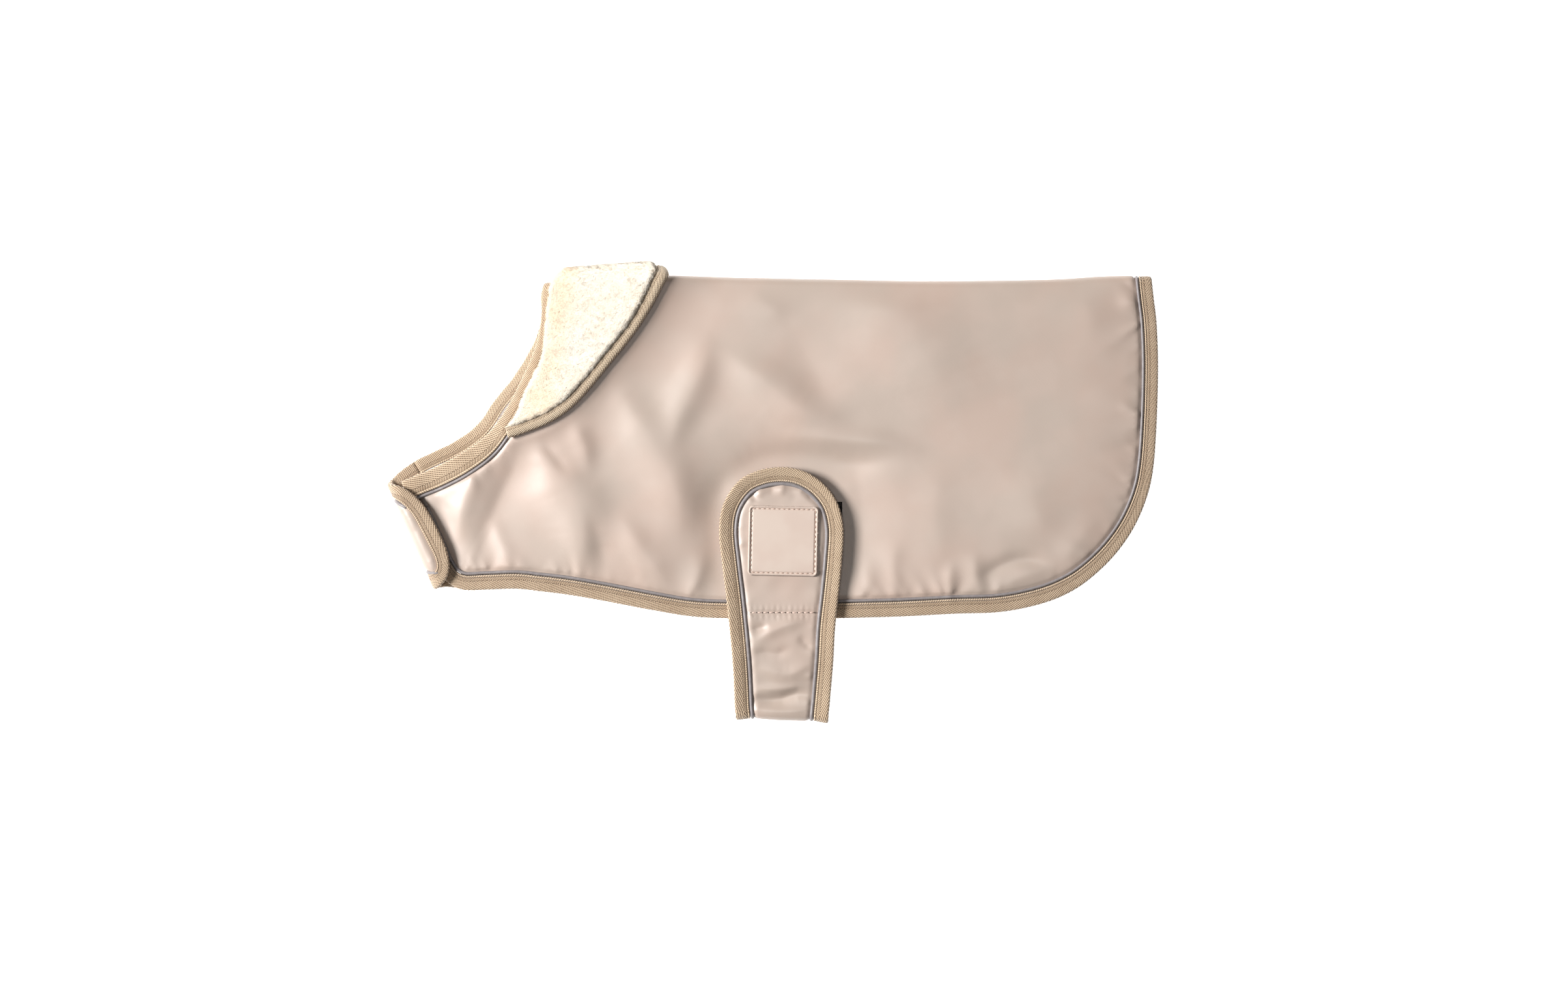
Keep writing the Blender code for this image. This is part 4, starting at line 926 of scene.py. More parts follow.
def meshed(loop, spacingAt, rings):
    # points over the pattern, close-set rows inside its edge, and the triangles between them
    closed = np.vstack([loop, loop[:1]])
    low, high = loop.min(0), loop.max(0)
    inner = []
    for start, stop, spacing in spacingAt(low[1], high[1]):
        rowsOf = np.arange(start, stop, spacing * 0.866)
        for k, u in enumerate(rowsOf):
            w = np.arange(low[0] + (k % 2) * spacing / 2, high[0], spacing)
            inner.append(np.column_stack([w, np.full(len(w), u)]))
    inner = np.vstack(inner)
    inner = inner[insideOf(inner, loop)]
    gap = nearestOn(inner, closed)[0]
    inner = inner[gap > rings[-1] + 0.7]
    extra = []
    run = runAlong(closed)
    middles = (closed[1:] + closed[:-1]) / 2
    way = np.diff(closed, axis=0) / np.maximum(np.diff(run), 1e-9)[:, None]
    flip = 1 if turnedArea(loop) > 0 else -1
    for ring in rings:
        spots = middles + flip * ring * np.column_stack([-way[:, 1], way[:, 0]])
        spots = spots[insideOf(spots, loop)]
        gap = nearestOn(spots, closed)[0]
        extra.append(spots[gap > ring - 0.12])
    spots = np.vstack([loop, *extra, inner])
    edges = [(i, (i + 1) % len(loop)) for i in range(len(loop))]
    made = delaunay_2d_cdt([tuple(s) for s in spots], edges, [list(range(len(loop)))], 1, 1e-4, False)
    points = np.array([tuple(v) for v in made[0]])
    faces = np.array([f for f in made[2] if len(f) == 3])
    a, b, c = (points[faces[:, k]] for k in range(3))
    turn = (b[:, 0] - a[:, 0]) * (c[:, 1] - a[:, 1]) - (b[:, 1] - a[:, 1]) * (c[:, 0] - a[:, 0])
    faces[turn < 0] = faces[turn < 0][:, ::-1]
    return points, faces[insideOf((a + b + c) / 3, loop)]


def makeSheet(name, fold, loop, spacingAt, rings, highAt, low, look, second=None, sideSign=1):
    # a closed wall over a cut outline; its low side is flat on the pattern, its high side isn't
    spots, faces = meshed(loop, spacingAt, rings)
    gap, place = nearestOn(spots, np.vstack([loop, loop[:1]]))
    w, u = spots[:, 0], spots[:, 1]
    top = fold.place(w, u, highAt(w, u, gap, place))
    bottom = fold.place(w, u, np.full(len(w), low))
    count = len(spots)
    sides = np.sort(np.vstack([faces[:, [0, 1]], faces[:, [1, 2]], faces[:, [2, 0]]]), axis=1)
    found, uses = np.unique(sides, axis=0, return_counts=True)
    rim = {tuple(edge) for edge in found[uses == 1].tolist()}
    walls = []
    for face in faces.tolist():
        for a, b in zip(face, face[1:] + face[:1]):
            if (min(a, b), max(a, b)) in rim:
                walls.append([b, a, a + count, b + count])
    tops, lows = faces.tolist(), (faces[:, ::-1] + count).tolist()
    if sideSign < 0:
        tops, lows, walls = ([f[::-1] for f in some] for some in (tops, lows, walls))
    uvs = np.vstack([spots, spots])
    secondFrom = (len(tops), len(tops) + len(lows))
    faces = [*tops, *lows, *walls]
    return makeMesh(name, np.vstack([top, bottom]), faces, look, "clothMap", uvs, second, secondFrom)


def drawnIn(gap, deep):
    # the cloth pulled down beside its seam
    return deep * np.exp(-((gap / coat["pinchReach"]) ** 2))


def puckers(run, gap, until, seed, spacing, reach, rise):
    # short pleats that start at a seam and die out across the cloth
    rng = np.random.default_rng(seed)
    height = np.zeros(len(run))
    centre = 0.0
    while centre < until:
        centre += spacing * rng.uniform(0.45, 1.75)
        width, lean = rng.uniform(1.1, 2.6), rng.uniform(-0.7, 0.7)
        strong, long = rise * rng.uniform(0.3, 1.5) * rng.choice([1, 1, -0.8]), reach * rng.uniform(0.4, 1.7)
        off = run - centre - lean * gap
        height += strong * np.exp(-((off / (width + 0.22 * gap)) ** 2)) * np.exp(-gap / long)
    return height * ease(gap, 0.2, 2.6)


# edges, as on the solids
def insetHem():
    rows = np.array(hemRows[:0:-1])
    below = ease(rows[:, 1], 60.0, -40.0)
    return np.column_stack([
        rows[:, 0] - coat["farInset"] * (1 - below), rows[:, 1] + coat["farInset"] * below, rows[:, 2]
    ])


def rimLine():
    near = coatFold.flat([*nearEndRows, *hemRows], nearSide)
    far = coatFold.flat([*insetHem(), *flapLowRows[::-1]], farSide)
    return smoothPath(np.vstack([near, coat["tailCrease"], far]), 0.5)


def neckLine():
    near = coatFold.flat(nearNeckRows[::-1], nearSide)
    far = coatFold.flat([*farNeckRows, *flapTopRows], farSide)
    return smoothPath(np.vstack([near, coat["neckCrease"], far]), 0.5)


def flapLine():
    top, low = flapFold.flat(flapTopRows, farSide), flapFold.flat(flapLowRows, farSide)
    return smoothPath(np.vstack([top, flapEdgeRows, low]), 0.5)


def strapLine():
    left, right = strapFold.flat(strapUnderLeft, farSide), strapFold.flat(strapUnderRight, farSide)
    edge = strapFold.flat(strapEdgeRows, nearSide)
    return smoothPath(np.vstack([left, strap["leftCrease"], edge, strap["rightCrease"], right]), 0.5)


def collarLine(rows, crease):
    near, far = collarFold.flat(rows[::-1], nearSide), collarFold.flat(rows, farSide)
    return smoothPath(np.vstack([near, crease, far]), 0.5)


def flapSeam(fold, depth):
    # the flap's seam line on the far half, from past its low end to past its top end
    spots = []
    for w in flap["seamEnds"]:
        x = flap["foldTop"][0] + flapAlong[0] * w + flapIn[0] * depth
        y = flap["foldTop"][1] + flapAlong[1] * w + flapIn[1] * depth
        spots.append(fold.flat([(x, y)], farSide)[0])
    return np.array(spots)


def longestRun(rows, keep):
    # the first unbroken run of rows where keep is true
    first = int(np.argmax(keep))
    after = np.nonzero(~keep[first:])[0]
    return rows[first : first + (after[0] if len(after) else len(rows))]


tapeHalf = coat["wall"] / 2 + coat["tapeProud"]
flatTape = tapeSection(tapeHalf)
cord = cordSection(0.5, 1.45, 0.45)  # half its width as a share, half its thickness, its middle
collarEndU = coatFold.flat([coat["collarEnd"]], nearSide)[0, 1]
pipingIn = coat["seam"] + coat["pipingWidth"] / 2
clothIn = 2 * coat["seam"] + coat["pipingWidth"] - coat["tuck"]


def nearAndFar(nearSpacing, farSpacing, turn):
    def bands(low, high):
        return [(low, -turn - 1, farSpacing), (-turn - 1, turn + 1, 0.85), (turn + 1, high, nearSpacing)]
    return bands


def makeTapeStrip(name, fold, rows, look, roundEnds=1.2):
    return makeStrip(name, fold, rows, *flatTape, 0.0, rows[:, 2], looks[look], teeth["out"], roundEnds)


def makeCord(name, fold, rows, width):
    return makeStrip(name, fold, rows, *cord, rows[:, 2] + pipingIn, width, looks["piping"])


# the coat
# pleats along its edges: draw, mm between them, how far they reach in, how high
coatPuckers = {"large": (11, 7.5, 7.0, 1.2), "soft": (12, 24.0, 15.0, 0.4), "small": (13, 5.5, 5.0, 0.6)}


def makeCoat():
    rim = spaced(rimLine(), -1, 1.4, 3.2, coatFold.turn)
    neck = spaced(neckLine(), 1, 1.8, 2.6, coatFold.turn)
    byCollar = np.abs(neck[:, 1]) < collarEndU - 8.0
    neckIn = np.where(byCollar, coat["seam"] - coat["toTape"], clothIn)
    loop = loopOf(
        stretched(shifted(rim, rim[:, 2] + clothIn), 12.0),
        flapSeam(coatFold, flap["seamDepth"] + coat["seam"]),
        stretched(shifted(neck, neck[:, 2] + neckIn)[::-1], 4.0),
    )
    total = runAlong(np.vstack([loop, loop[:1]]))[-1]

    def high(w, u, gap, place):
        spots = coatFold.place(w, u, np.zeros(len(w)))
        # drawn up tightest round the chest and right of the strap
        tight = ease(w, -180.0, -168.0) * (1 - ease(w, -118.0, -100.0))
        tight = tight + ease(w, 40.0, 50.0) * (1 - ease(w, 108.0, 130.0)) + 0.5 * ease(w, 196.0, 204.0)
        large, soft, small = (puckers(place, gap, total, *row) for row in coatPuckers.values())
        edge = large * (0.2 + 0.8 * tight)
        edge += soft + small * tight
        fine = 0.03 * ripples(spots[:, 0], spots[:, 1], 21, 12, 30.0, 14.0)
        nearTop, farTop = edge * calm(spots[:, 0], spots[:, 1]) + fine, np.minimum(edge + fine, 0.0) * 0.6
        top = np.where(u > 0, nearTop, farTop)
        return coat["wall"] / 2 - drawnIn(gap, coat["pinch"]) + np.clip(top, *coat["pleatLimits"])

    panel = makeSheet(
        "backPanelCloth", coatFold, loop, nearAndFar(2.0, 3.6, coatFold.turn), (0.8, 1.8, 3.0),
        high, -coat["wall"] / 2, looks["satin"], looks["paintedShadeInside"],
    )
    standFor("back_panel")
    print("back panel:", len(panel.data.polygons), "faces")

    rimPath, neckPath = rimLine(), neckLine()
    rimPath = rimPath[(rimPath[:, 1] > 0) | (rimPath[:, 0] > flapLowRows[-1][0] - 0.6)]
    neckPath = neckPath[(neckPath[:, 1] > 0) | (neckPath[:, 0] > flapTopRows[0][0] - 0.6)]
    rim = spaced(rimPath, -1, 0.6, 1.8, coatFold.turn)
    neck = spaced(neckPath, 1, 0.6, 1.5, coatFold.turn)
    piped = np.abs(neck[:, 1]) > collarEndU - 6.0
    near, far = longestRun(neck, piped), longestRun(neck[::-1], piped[::-1])[::-1]
    trims = [
        makeTapeStrip("hemTapeFolded", coatFold, rim, "hemTape"),
        makeTapeStrip("neckTapeFolded", coatFold, neck, "paleTape", buttEnd),
        makeCord("hemPipingCord", coatFold, rim, coat["pipingWidth"]),
        makeCord("nearNeckPipingCord", coatFold, near, coat["pipingWidth"]),
        makeCord("farNeckPipingCord", coatFold, far, coat["pipingWidth"]),
    ]
    nodes = ["hem_tape", "neck_tape", "hem_piping", "neck_piping_near", "neck_piping_far"]
    for piece, node in zip(trims, nodes):
        standFor(node)
    return panel, loop, trims


coatPanel, coatLoop, coatTrims = makeCoat()


# the collar and its pile
def pileTop(u, gap):
    # thinner at its edges, and looser on the near half
    full = collar["pile"] + collar["puff"] * ease(u, 0.0, collarFold.turn)
    share = collar["edgeLow"] + (1 - collar["edgeLow"]) * roundEdge(gap, collar["edgeReach"])
    return -collar["pile"] / 2 + full * share


def makeCollar():
    edgePath = collarLine(collarEdgeRows, collar["edgeCrease"])
    neckPath = collarLine(collarNeckRows, collar["neckCrease"])
    edge = spaced(edgePath, -1, 0.6, 1.5, collarFold.turn, 0.7)
    edgeLoop, neckLoop = (spaced(path, -1, 2.0, 2.6, collarFold.turn, 1.2) for path in (edgePath, neckPath))

    def outline(underTape, fromNeck):
        return loopOf(
            stretched(shifted(edgeLoop, edgeLoop[:, 2] - underTape), 6.0),
            stretched(shifted(neckLoop, fromNeck)[::-1], 6.0),
        )

    loop, limit = outline(coat["toTape"], 0.0), outline(*collar["tipLimit"])
    base = makeSheet(
        "collarFabric", collarFold, loop, nearAndFar(2.6, 3.6, collarFold.turn), (1.0, 2.2),
        lambda w, u, gap, place: pileTop(u, gap) - collar["sunk"], -collar["pile"] / 2, looks["fur"],
    )
    standFor("collar")
    shares, outs = tapeSection(collar["tapeThick"] / 2, (collar["tapeThick"] - collar["pile"]) / 2)
    # fuller than the other tapes, round like a roll
    outs = np.where(outs > -0.5, outs - collar["tapeRoll"] * np.abs(2 * shares - 1) ** 2.5, outs)
    trim = makeStrip(
        "collarTapeFolded", collarFold, edge, shares, outs, 0.0, edge[:, 2], looks["collarTape"], teeth["out"]
    )
    standFor("collar_tape")
    return base, loop, trim, limit


def scattered(loop, wanted, rng, keep):
    low, high = loop.min(0), loop.max(0)
    found = np.zeros((0, 2))
    while len(found) < wanted:
        spots = rng.uniform(low, high, (wanted * 2, 2))
        spots = spots[keep(spots)]
        found = np.vstack([found, spots[insideOf(spots, loop)]])
    return found[:wanted]


def makePile(name, loop, wanted, keep, seed, limit):
    # each strand is a ribbon, a quad and a triangle long, that bends over as it rises
    rng = np.random.default_rng(seed)
    roots = scattered(loop, wanted, rng, keep)
    gap = nearestOn(roots, np.vstack([loop, loop[:1]]))[0]
    w, u = roots.T
    ground = pileTop(u, gap) - collar["rootsSunk"]
    # strands lean together in tufts
    tufts = scattered(loop, fur["tufts"], rng, keep)
    tuftLean = rng.normal(0, 0.55, (len(tufts), 2))
    tuftRise = rng.uniform(0.96, 1.04, len(tufts))
    mine = np.concatenate([
        np.linalg.norm(part[:, None] - tufts, axis=2).argmin(1) for part in np.array_split(roots, 40)
    ])
    lean = np.array(fur["lean"]) + fur["tuftLean"] * tuftLean[mine]
    lean = lean + rng.normal(0, fur["ownLean"], roots.shape)
    toTuft = tufts[mine] - roots
    length = rng.uniform(*fur["length"], len(roots)) * (0.55 + 0.45 * roundEdge(gap, collar["edgeReach"]))
    reach = (length * fur["reach"])[:, None]
    for _ in range(6):
        # none reaches over the neck's edge, and few over the tape
        over = ~insideOf(roots + lean * reach + toTuft * fur["gather"], limit)
        lean[over] *= fur["drawBack"]
        toTuft[over] *= fur["drawBack"]
    least, more = collar["strandHigh"]
    rise = (least + more * rng.random(len(roots))) * tuftRise[mine]
    width = fur["width"] * rng.uniform(0.6, 1.3, len(roots))
    across = np.column_stack([-lean[:, 1], lean[:, 0]])
    across /= np.linalg.norm(across, axis=1)[:, None]
    twist = rng.uniform(-0.4, 0.4, len(roots))
    points, shares = [], []
    for share, thick in ((0.0, 1.0), (0.45, 0.85), (1.0, 0.0)):
        bent = share**1.3
        centre = roots + lean * reach * bent + toTuft * fur["gather"] * bent
        out = ground + rise * share * (1.55 - 0.55 * share)
        for side in ((-0.5, 0.5) if thick else (0.0,)):
            spot = centre + across * (width * thick * side)[:, None]
            points.append(collarFold.place(spot[:, 0], spot[:, 1], out + width * thick * side * twist))
            shares.append(np.full(len(roots), share))
    points, shares = np.stack(points, axis=1), np.stack(shares, axis=1)
    points[:, :, 2] = np.maximum(points[:, :, 2], 0.05)  # off the floor
    # lit like the soft surface they make together, each turned a little by its own lean
    up = collarFold.place(w, u, ground + 2.0) - collarFold.place(w, u, ground)
    up = up / np.maximum(np.linalg.norm(up, axis=1), 1e-6)[:, None]
    way = points[:, 4] - points[:, 0]
    way = way / np.maximum(np.linalg.norm(way, axis=1), 1e-6)[:, None]
    facing = up + fur["softness"] * (way - (way * up).sum(1)[:, None] * up)
    facing = facing / np.linalg.norm(facing, axis=1)[:, None]
    normals = np.repeat(facing, 5, axis=0)
    first = np.arange(len(roots)) * 5
    faces = [[a, a + 1, a + 3, a + 2] for a in first.tolist()]
    faces += [[a + 2, a + 3, a + 4] for a in first.tolist()]
    chance = np.broadcast_to(rng.random(len(roots))[:, None], shares.shape)
    uvs = np.stack([chance, shares], axis=-1)
    piece = makeMesh(name, points, faces, looks["fur"], "strandMap", uvs, normals=normals)
    return piece


def onNear(spots):
    return spots[:, 1] > -fur["overCrease"]


def onFar(spots):
    return spots[:, 1] < -fur["overCrease"]


collarBase, collarLoop, collarTrim, pileLimit = makeCollar()
topPile = makePile("collarPileTop", collarLoop, fur["strands"], onNear, 31, pileLimit)
lowPile = makePile("collarPileThick", collarLoop, fur["strands"], onNear, 33, pileLimit)
underPile = makePile("collarPileUnder", collarLoop, fur["farStrands"], onFar, 32, pileLimit)
print("collar pile:", 2 * fur["strands"] + fur["farStrands"], "strands")


# the chest flap
def makeFlap():
    rows = spaced(flapLine(), -1, 0.6, 1.2, flapFold.turn)
    coarse = spaced(flapLine(), -1, 1.6, 1.8, flapFold.turn, 1.2)

    def piped(some):
        return some[:, 1] < np.where(some[:, 0] < flapLength / 2, flap["topPiped"], flap["lowPiped"])

    inward = np.where(piped(coarse), clothIn, coat["seam"] - coat["toTape"])
    loop = loopOf(shifted(coarse, coarse[:, 2] + inward), flapSeam(flapFold, flap["seamDepth"]))

    def high(w, u, gap, place):
        # not drawn in at its seam on the far half
        drawn = drawnIn(gap, flap["pinch"]) * ease(u, *flap["seamFade"])
        edge = puckers(place, gap, flap["puckersTo"], *flap["puckers"])
        return coat["wall"] / 2 - drawn + np.where(u > -flapFold.turn, edge, 0.0)

    cloth = makeSheet(
        "chestFlapCloth", flapFold, loop, nearAndFar(1.6, 2.4, flapFold.turn), (0.8, 1.8),
        high, -coat["wall"] / 2, looks["satin"], looks["paintedShadeInside"],
    )
    trim = makeTapeStrip("flapTapeFolded", flapFold, rows, "hemTape", buttEnd)
    cords = []
    for name, stub in (("flapTopPipingCord", flap["topStub"]), ("flapLowPipingCord", flap["lowStub"])):
        bar = spaced(smoothPath(stub, 0.5), -1, 0.6, 1.2, flapFold.turn)
        cords.append(makeStrip(name, flapFold, bar, *cord, 0.0, bar[:, 2], looks["piping"]))
    standFor("chest_flap")
    standFor("flap_tape")
    for piece, node in zip(cords, ("flap_piping_top", "flap_piping_low")):
        standFor(node)
    return cloth, loop, [trim, *cords]


flapCloth, flapLoop, flapTrims = makeFlap()
print("chest flap made")


# the belly strap
# points along the crest, spread there, rise
strapFolds = [
    # fanning out from the round end
    ([(-6.5, 7.5), (-7.5, 1.0), (-8.0, -5.5)], (1.5, 2.2, 3.0), 0.8),
    ([(6.8, 9.0), (5.5, 3.0), (4.4, -4.0)], (1.5, 2.0, 3.0), 0.7),
    ([(18.0, 7.0), (16.6, 2.0), (15.0, -4.0)], (1.5, 2.0, 3.0), 0.7),
    ([(-13.0, 1.0), (-10.5, -3.0), (-9.0, -7.0)], (1.5, 2.0, 2.6), -0.6),
    ([(0.5, 8.5), (-0.5, 3.0), (-1.0, -3.0)], (1.5, 2.0, 2.6), -0.6),
    ([(24.0, 1.0), (22.0, -2.0), (20.0, -6.0)], (1.5, 2.0, 2.6), -0.5),
    # below the stitched line
    ([(-13.0, -88.0), (-4.0, -82.0), (6.0, -77.0), (22.0, -73.5)], (3.0, 4.2, 3.4), 1.3),
    ([(-13.5, -80.0), (-8.0, -78.5), (-2.0, -76.5)], (2.0, 2.4, 2.0), -0.9),
    ([(-13.0, -93.5), (-5.0, -92.0), (3.0, -93.0), (12.0, -88.0)], (2.4, 3.2, 3.4), -0.9),
    ([(-12.0, -100.0), (-2.0, -103.0), (10.0, -105.0), (25.0, -97.0)], (3.0, 5.0, 3.4), 1.3),
    ([(-13.0, -111.5), (-2.0, -113.5), (9.0, -113.0), (20.0, -111.0)], (2.6, 3.0, 2.6), 1.2),
    ([(-18.0, -117.5), (-6.0, -119.5), (5.0, -119.0), (14.0, -116.0), (28.0, -119.0)], (3.0, 3.6, 3.0), -1.9),
    ([(-16.0, -125.0), (0.0, -126.0), (14.0, -126.0), (28.0, -124.0)], (2.4, 2.8, 2.4), 1.1),
    ([(14.0, -82.0), (20.0, -88.0), (25.0, -90.0)], (2.4, 3.0, 2.4), -0.8),
]


def makeStrap():
    rows = spaced(strapLine(), -1, 0.6, 1.6, strapFold.turn)
    coarse = spaced(strapLine(), -1, 1.6, 3.0, strapFold.turn, 1.2)
    loop = shifted(coarse, coarse[:, 2] + clothIn)
    total = runAlong(np.vstack([loop, loop[:1]]))[-1]

    def high(w, u, gap, place):
        spots = strapFold.place(w, u, np.zeros(len(w)))
        x, y = spots[:, 0], spots[:, 1]
        # drawn in along the stitched line, with small pleats above and below it
        fromLine = np.abs(y - strap["stitchY"])
        line = -strap["lineDeep"] * np.exp(-((fromLine / 0.9) ** 2))
        uneven = 0.3 + 0.9 * np.sin(x * 0.41 + 0.6) ** 2
        pleats = strap["pleatHigh"] * uneven * np.sin(x * 2 * math.pi / strap["pleatPitch"] + 0.9)
        pleats = pleats * np.exp(-((fromLine - 2.2) / 1.6) ** 2)
        edge = puckers(place, gap, total, *strap["puckers"])
        belowLabel = y < strap["stitchY"] + 40.0
        top = foldHeight(x, y, strapFolds) + line + pleats + edge * np.where(belowLabel, 1.0, 0.6)
        top += 0.07 * ripples(x, y, 53, 9, 26.0, 12.0)
        top = np.where(u > 0, np.clip(top, *strap["foldLimits"]), 0.0)
        return coat["wall"] / 2 - drawnIn(gap, coat["pinch"]) + top

    cloth = makeSheet(
        "bellyStrapCloth", strapFold, loop, nearAndFar(1.15, 2.6, strapFold.turn), (0.7, 1.5),
        high, -coat["wall"] / 2, looks["satin"], looks["paintedShadeInside"], -1,
    )
    # the tape stands up a little at its outer edge, where the cloth pulls it in
    shares, outs = flatTape
    tilted = np.asarray(outs) + strap["tapeTilt"] * (1 - np.asarray(shares)) * (np.asarray(outs) > -tapeHalf)
    trim = makeStrip(
        "strapTapeFolded", strapFold, rows, shares, tilted, 0.0, rows[:, 2], looks["paleTape"], teeth["out"]
    )
    piping = makeCord("strapPipingCord", strapFold, rows, strap["pipingWidth"])
    for piece, node, slot in (
        (cloth, "belly_strap", "shell_cloth"), (trim, "strap_tape", "binding_tape"),
        (piping, "strap_piping", "reflective_piping"),
    ):
        standFor(node)
    return cloth, loop, [trim, piping]


strapCloth, strapLoop, strapTrims = makeStrap()
print("belly strap made")


# threads
def makeStitches(name, fold, runs, radius, out, look, sides=6, rounds=5):
    # each run is one thread from hole to hole, on a fold's pattern: w0, u0, w1, u1
    runs = np.array(runs, float)
    angle = np.arange(sides) * 2 * math.pi / sides
    shares = (np.arange(rounds) + 0.5) / rounds
    shares = np.concatenate([[0.0], shares, [1.0]])
    points = []
    way = runs[:, 2:] - runs[:, :2]
    across = np.column_stack([-way[:, 1], way[:, 0]]) / np.linalg.norm(way, axis=1)[:, None]
    for share in shares:
        fat = radius * math.sqrt(max(0.1, 1 - abs(2 * share - 1) ** 3))
        arch = radius * 1.2 * (1 - (2 * share - 1) ** 4) - radius * 0.9
        for turn in angle:
            spot = runs[:, :2] + way * share + across * (fat * math.cos(turn))
            points.append(fold.place(spot[:, 0], spot[:, 1], out + arch + fat * math.sin(turn)))
    points = np.stack(points, axis=1)
    count = len(shares) * sides
    faces = []
    for first in range(0, len(runs) * count, count):
        for k in range(len(shares) - 1):
            for s in range(sides):
                a, b = first + k * sides + s, first + k * sides + (s + 1) % sides
                faces.append([a, b, b + sides, a + sides])
        faces.append([first + s for s in range(sides - 1, -1, -1)])
        faces.append([first + count - sides + s for s in range(sides)])
    return makeMesh(name, points, faces, look)


def strapStitchLine():
    # the row of holes and threads across the strap, on its pattern
    xs = np.linspace(*strap["stitched"])
    u = strapFold.flat([(x, strap["stitchY"]) for x in xs], nearSide)
    (fat, sunk, away), (wide, deep, long) = strap["thread"], strap["hole"]
    threads = [(a[0] + away, a[1], b[0] - away, b[1]) for a, b in zip(u, u[1:])]
    holes = [(a[0] - long, a[1], a[0] + long, a[1]) for a in u]
    surface = coat["wall"] / 2
    thread = makeStitches("strapCrossStitches", strapFold, threads, fat, surface - sunk, looks["thread"])
    hole = makeStitches("strapNeedleHoles", strapFold, holes, wide, surface - deep, looks["holes"], 8, 3)
    return [thread, hole]


strapThreads = strapStitchLine()

# the label: a rubber square with a raised border, a stitched channel and a plain field
label = {
    "side": 40.0,
    "round": 2.6,
    "turn": math.radians(-1.2),
    "middle": (5.9, -28.4),
    "border": 1.15,
    "channel": 2.35,
    "high": 1.5,
    "field": 1.1,
    "deep": 0.75,  # the channel, below the border
    "stitches": 13,  # on each side
    "stitchShare": 0.68,  # of the way from one to the next
    "thread": 0.3,
    # rows of points inside its edge, close where the border and the channel turn
    "rings": (0.15, 0.35, 0.6, 0.9, 1.05, 1.25, 1.45, 1.75, 2.05, 2.25, 2.45, 2.7),
}


def labelSpot(x, y):
    c, s = math.cos(label["turn"]), math.sin(label["turn"])
    middleX, middleY = label["middle"]
    return strapFold.flat([(middleX + x * c - y * s, middleY + x * s + y * c)], nearSide)[0]


def makeLabel():
    half, radius = label["side"] / 2, label["round"]
    corners = []
    for quarter in range(4):
        middle = quarter * math.pi / 2 + math.pi / 4
        reach = (half - radius) * math.sqrt(2)
        x, y = reach * math.cos(middle), reach * math.sin(middle)
        for angle in quarter * math.pi / 2 + np.linspace(0.0, math.pi / 2, 9):
            corners.append((x + radius * math.cos(angle), y + radius * math.sin(angle)))
    outline = np.array([labelSpot(x, y) for x, y in smoothLoop(corners, 1.0)])
    base = coat["wall"] / 2 + coat["seam"]

    def high(w, u, gap, place):
        border = label["high"] * roundEdge(gap, 0.5, 0.1)
        channel = ease(gap, label["border"] - 0.2, label["border"] + 0.2)
        field = ease(gap, label["channel"] - 0.25, label["channel"] + 0.15)
        fromChannel = label["field"] + label["deep"] - label["high"]
        return base + border - channel * label["deep"] + field * fromChannel

    piece = makeSheet(
        "rubberLabel", strapFold, outline, lambda low, high: [(low, high, 1.5)], label["rings"], high, base,
        looks["rubber"], None, -1,
    )
    standFor("label")
    threads = []
    inset = half - (label["border"] + label["channel"]) / 2
    gapBetween = 2 * inset / label["stitches"]
    fromHole = (1 - label["stitchShare"]) / 2
    for c, s in ((1, 0), (0, 1), (-1, 0), (0, -1)):
        for k in range(label["stitches"]):
            ends = (-inset + gapBetween * (k + share) for share in (fromHole, 1 - fromHole))
            threads.append(np.concatenate([labelSpot(at * c + inset * s, at * s - inset * c) for at in ends]))
    channelTop = base + label["high"] - label["deep"]
    stitches = makeStitches(
        "labelStitches", strapFold, threads, label["thread"], channelTop + 0.03, looks["labelThread"], 6, 4
    )
    return piece, stitches


def smoothLoop(corners, step):
    closed = np.array([*corners, corners[0]])
    run = runAlong(closed)
    at = np.unique(np.concatenate([run[:-1], np.arange(0, run[-1], step)]))
    at = at[np.concatenate([[True], np.diff(at) > 0.2])]
    return np.column_stack([np.interp(at, run, closed[:, 0]), np.interp(at, run, closed[:, 1])])


labelPiece, labelStitches = makeLabel()
print("label made")

# the hook patch under the strap's end
hookPatch = {
    "box": (-20.0, 39.8, -34.0, -6.0),  # left, right, low, high
    "thick": 1.2,
    "hooks": 1500,
    "hookHigh": 0.35,  # part of its thickness
    "hookLong": 0.55,
}


def makeHookPatch():
    left, right, low, high = hookPatch["box"]
    corners = smoothLoop([(left, low), (right, low), (right, high), (left, high)], 2.0)
    outline = coatFold.flat(corners, nearSide)
    base = coat["wall"] / 2 + coat["seam"]
    woven = hookPatch["thick"] - hookPatch["hookHigh"]
    piece = makeSheet(
        "hookTapePatch", coatFold, outline, lambda low, high: [(low, high, 2.4)], (0.3, 0.8),
        lambda w, u, gap, place: base + woven * roundEdge(gap, 0.6, 0.15), base, looks["hooks"],
    )
    standFor("hook_patch")
    rng = np.random.default_rng(61)
    spots = scattered(outline, hookPatch["hooks"], rng, lambda s: s[:, 0] > left)
    turn = rng.uniform(0, 2 * math.pi, len(spots))
    way = hookPatch["hookLong"] * np.column_stack([np.cos(turn), np.sin(turn)])
    runs = np.column_stack([spots, spots + way])
    top = base + hookPatch["thick"]
    hooks = makeStitches("hookTapeHooks", coatFold, runs, 0.1, top - 0.2, looks["hooks"], 4, 2)
    return piece, hooks, outline


hookPiece, hookStubs, hookLoop = makeHookPatch()
print("hook patch made")


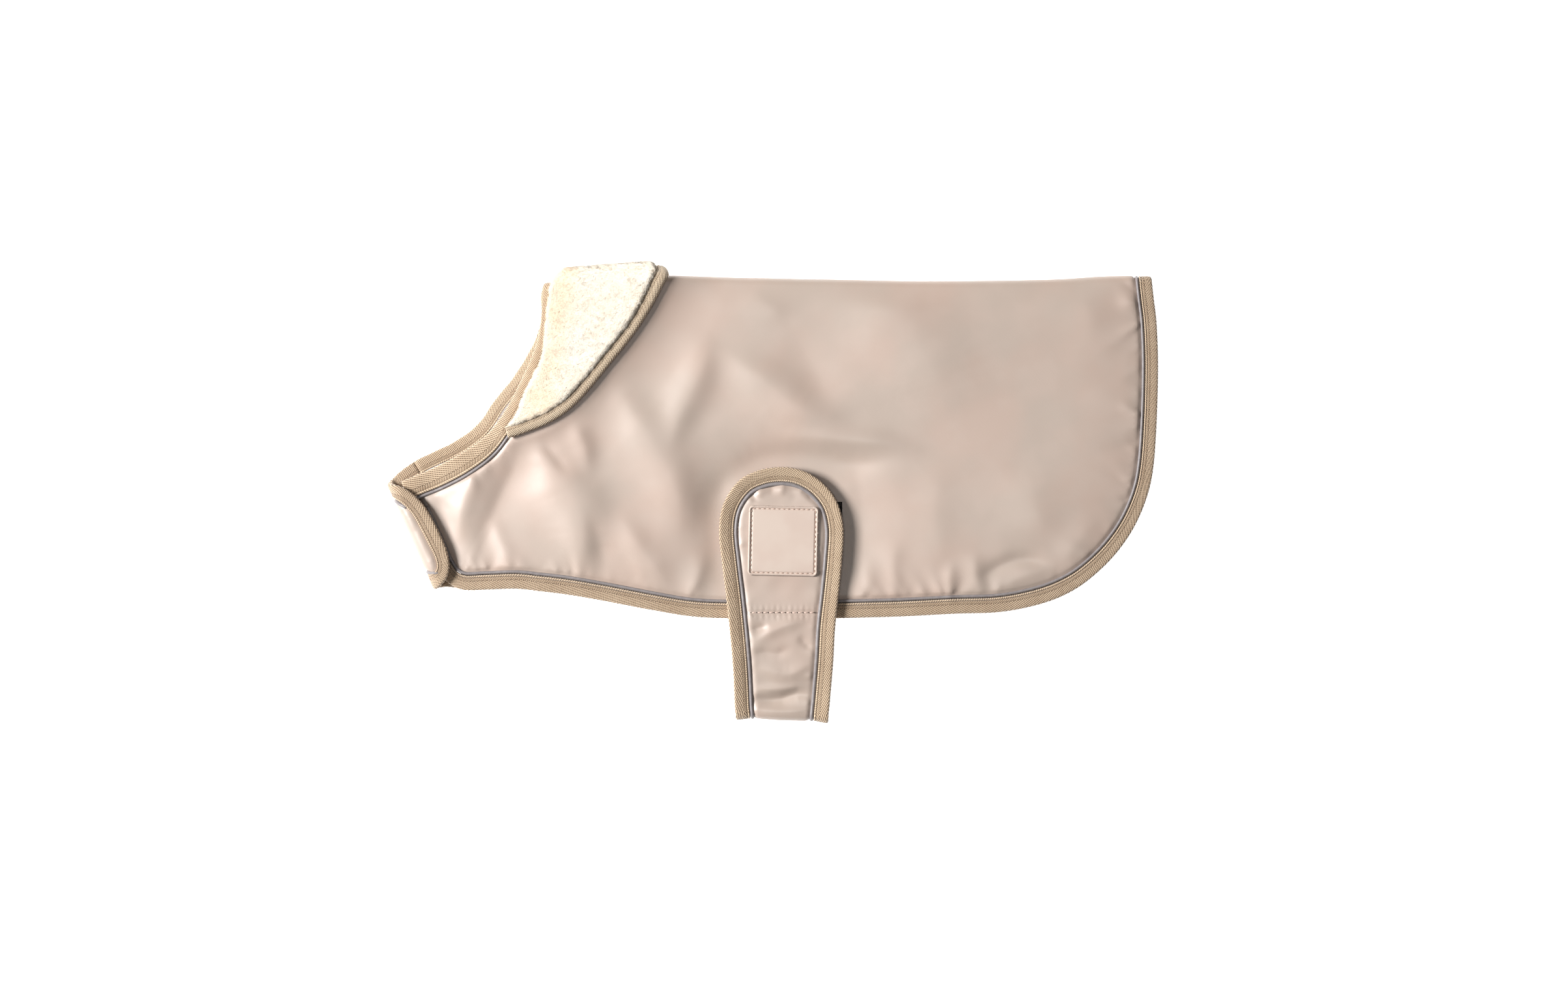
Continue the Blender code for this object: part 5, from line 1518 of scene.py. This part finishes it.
# floor, light and camera
studio = {
    "floorSize": 6.0,
    "floorDown": 0.4,  # mm under the coat
    "keyPower": 176.0,
    "keySize": 1.1,
    "keyFrom": (-2.4, 0.4, 1.95),
    "fillPower": 8.0,
    "fillSize": 0.8,
    "fillFrom": (-0.1, 0.0, 2.4),
    "sky": 0.08,
    "floorGlow": 0.9,
    "cameraHeight": 2.0,
    "sensor": 36.0,  # mm across
    "frameWidth": 0.903,
    "frameMiddle": (6.4, -4.1),
}


def makeStudio():
    half = studio["floorSize"] / 2 / mm
    corners = [(x * half, y * half, -studio["floorDown"]) for x, y in ((-1, -1), (1, -1), (1, 1), (-1, 1))]
    mesh = bpy.data.meshes.new("paleFloor")
    mesh.from_pydata([tuple(c * mm for c in p) for p in corners], [], [(0, 1, 2, 3)])
    look, tree, shader = newLook("paleFloor", 0.9)
    shader.inputs["Emission Color"].default_value = (1.0, 1.0, 1.0, 1.0)
    shader.inputs["Emission Strength"].default_value = studio["floorGlow"]
    place = addNode(tree, "ShaderNodeTexCoord").outputs["Object"]
    drift = between(tree, noiseOf(tree, place, 1.5), 0.3, 0.7)
    tree.links.new(blendOf(tree, drift, (0.93, 0.93, 0.93), (0.95, 0.95, 0.945)), shader.inputs["Base Color"])
    mesh.materials.append(look)
    floor = bpy.data.objects.new("paleFloor", mesh)
    bpy.context.scene.collection.objects.link(floor)

    def lamp(name, power, width, origin):
        data = bpy.data.lights.new(name, "AREA")
        data.energy, data.size = power, width
        data.shape = "DISK"
        piece = bpy.data.objects.new(name, data)
        piece.location = origin
        away = np.array(origin) / np.linalg.norm(origin)
        piece.rotation_euler = (math.acos(away[2]), 0.0, math.atan2(away[1], away[0]) + math.pi / 2)
        bpy.context.scene.collection.objects.link(piece)

    lamp("keySoftbox", studio["keyPower"], studio["keySize"], studio["keyFrom"])
    lamp("fillSoftbox", studio["fillPower"], studio["fillSize"], studio["fillFrom"])
    world = bpy.data.worlds.new("paleStudio")
    world.use_nodes = True
    world.node_tree.nodes["Background"].inputs["Color"].default_value = (1.0, 1.0, 1.0, 1.0)
    world.node_tree.nodes["Background"].inputs["Strength"].default_value = studio["sky"]
    bpy.context.scene.world = world

    data = bpy.data.cameras.new("straightDown")
    data.sensor_width = studio["sensor"]
    data.lens = studio["sensor"] * studio["cameraHeight"] / studio["frameWidth"]
    camera = bpy.data.objects.new("straightDown", data)
    camera.location = (studio["frameMiddle"][0] * mm, studio["frameMiddle"][1] * mm, studio["cameraHeight"])
    bpy.context.scene.collection.objects.link(camera)
    bpy.context.scene.camera = camera
    bpy.context.scene.view_settings.view_transform = "Standard"


makeStudio()
print("studio made")
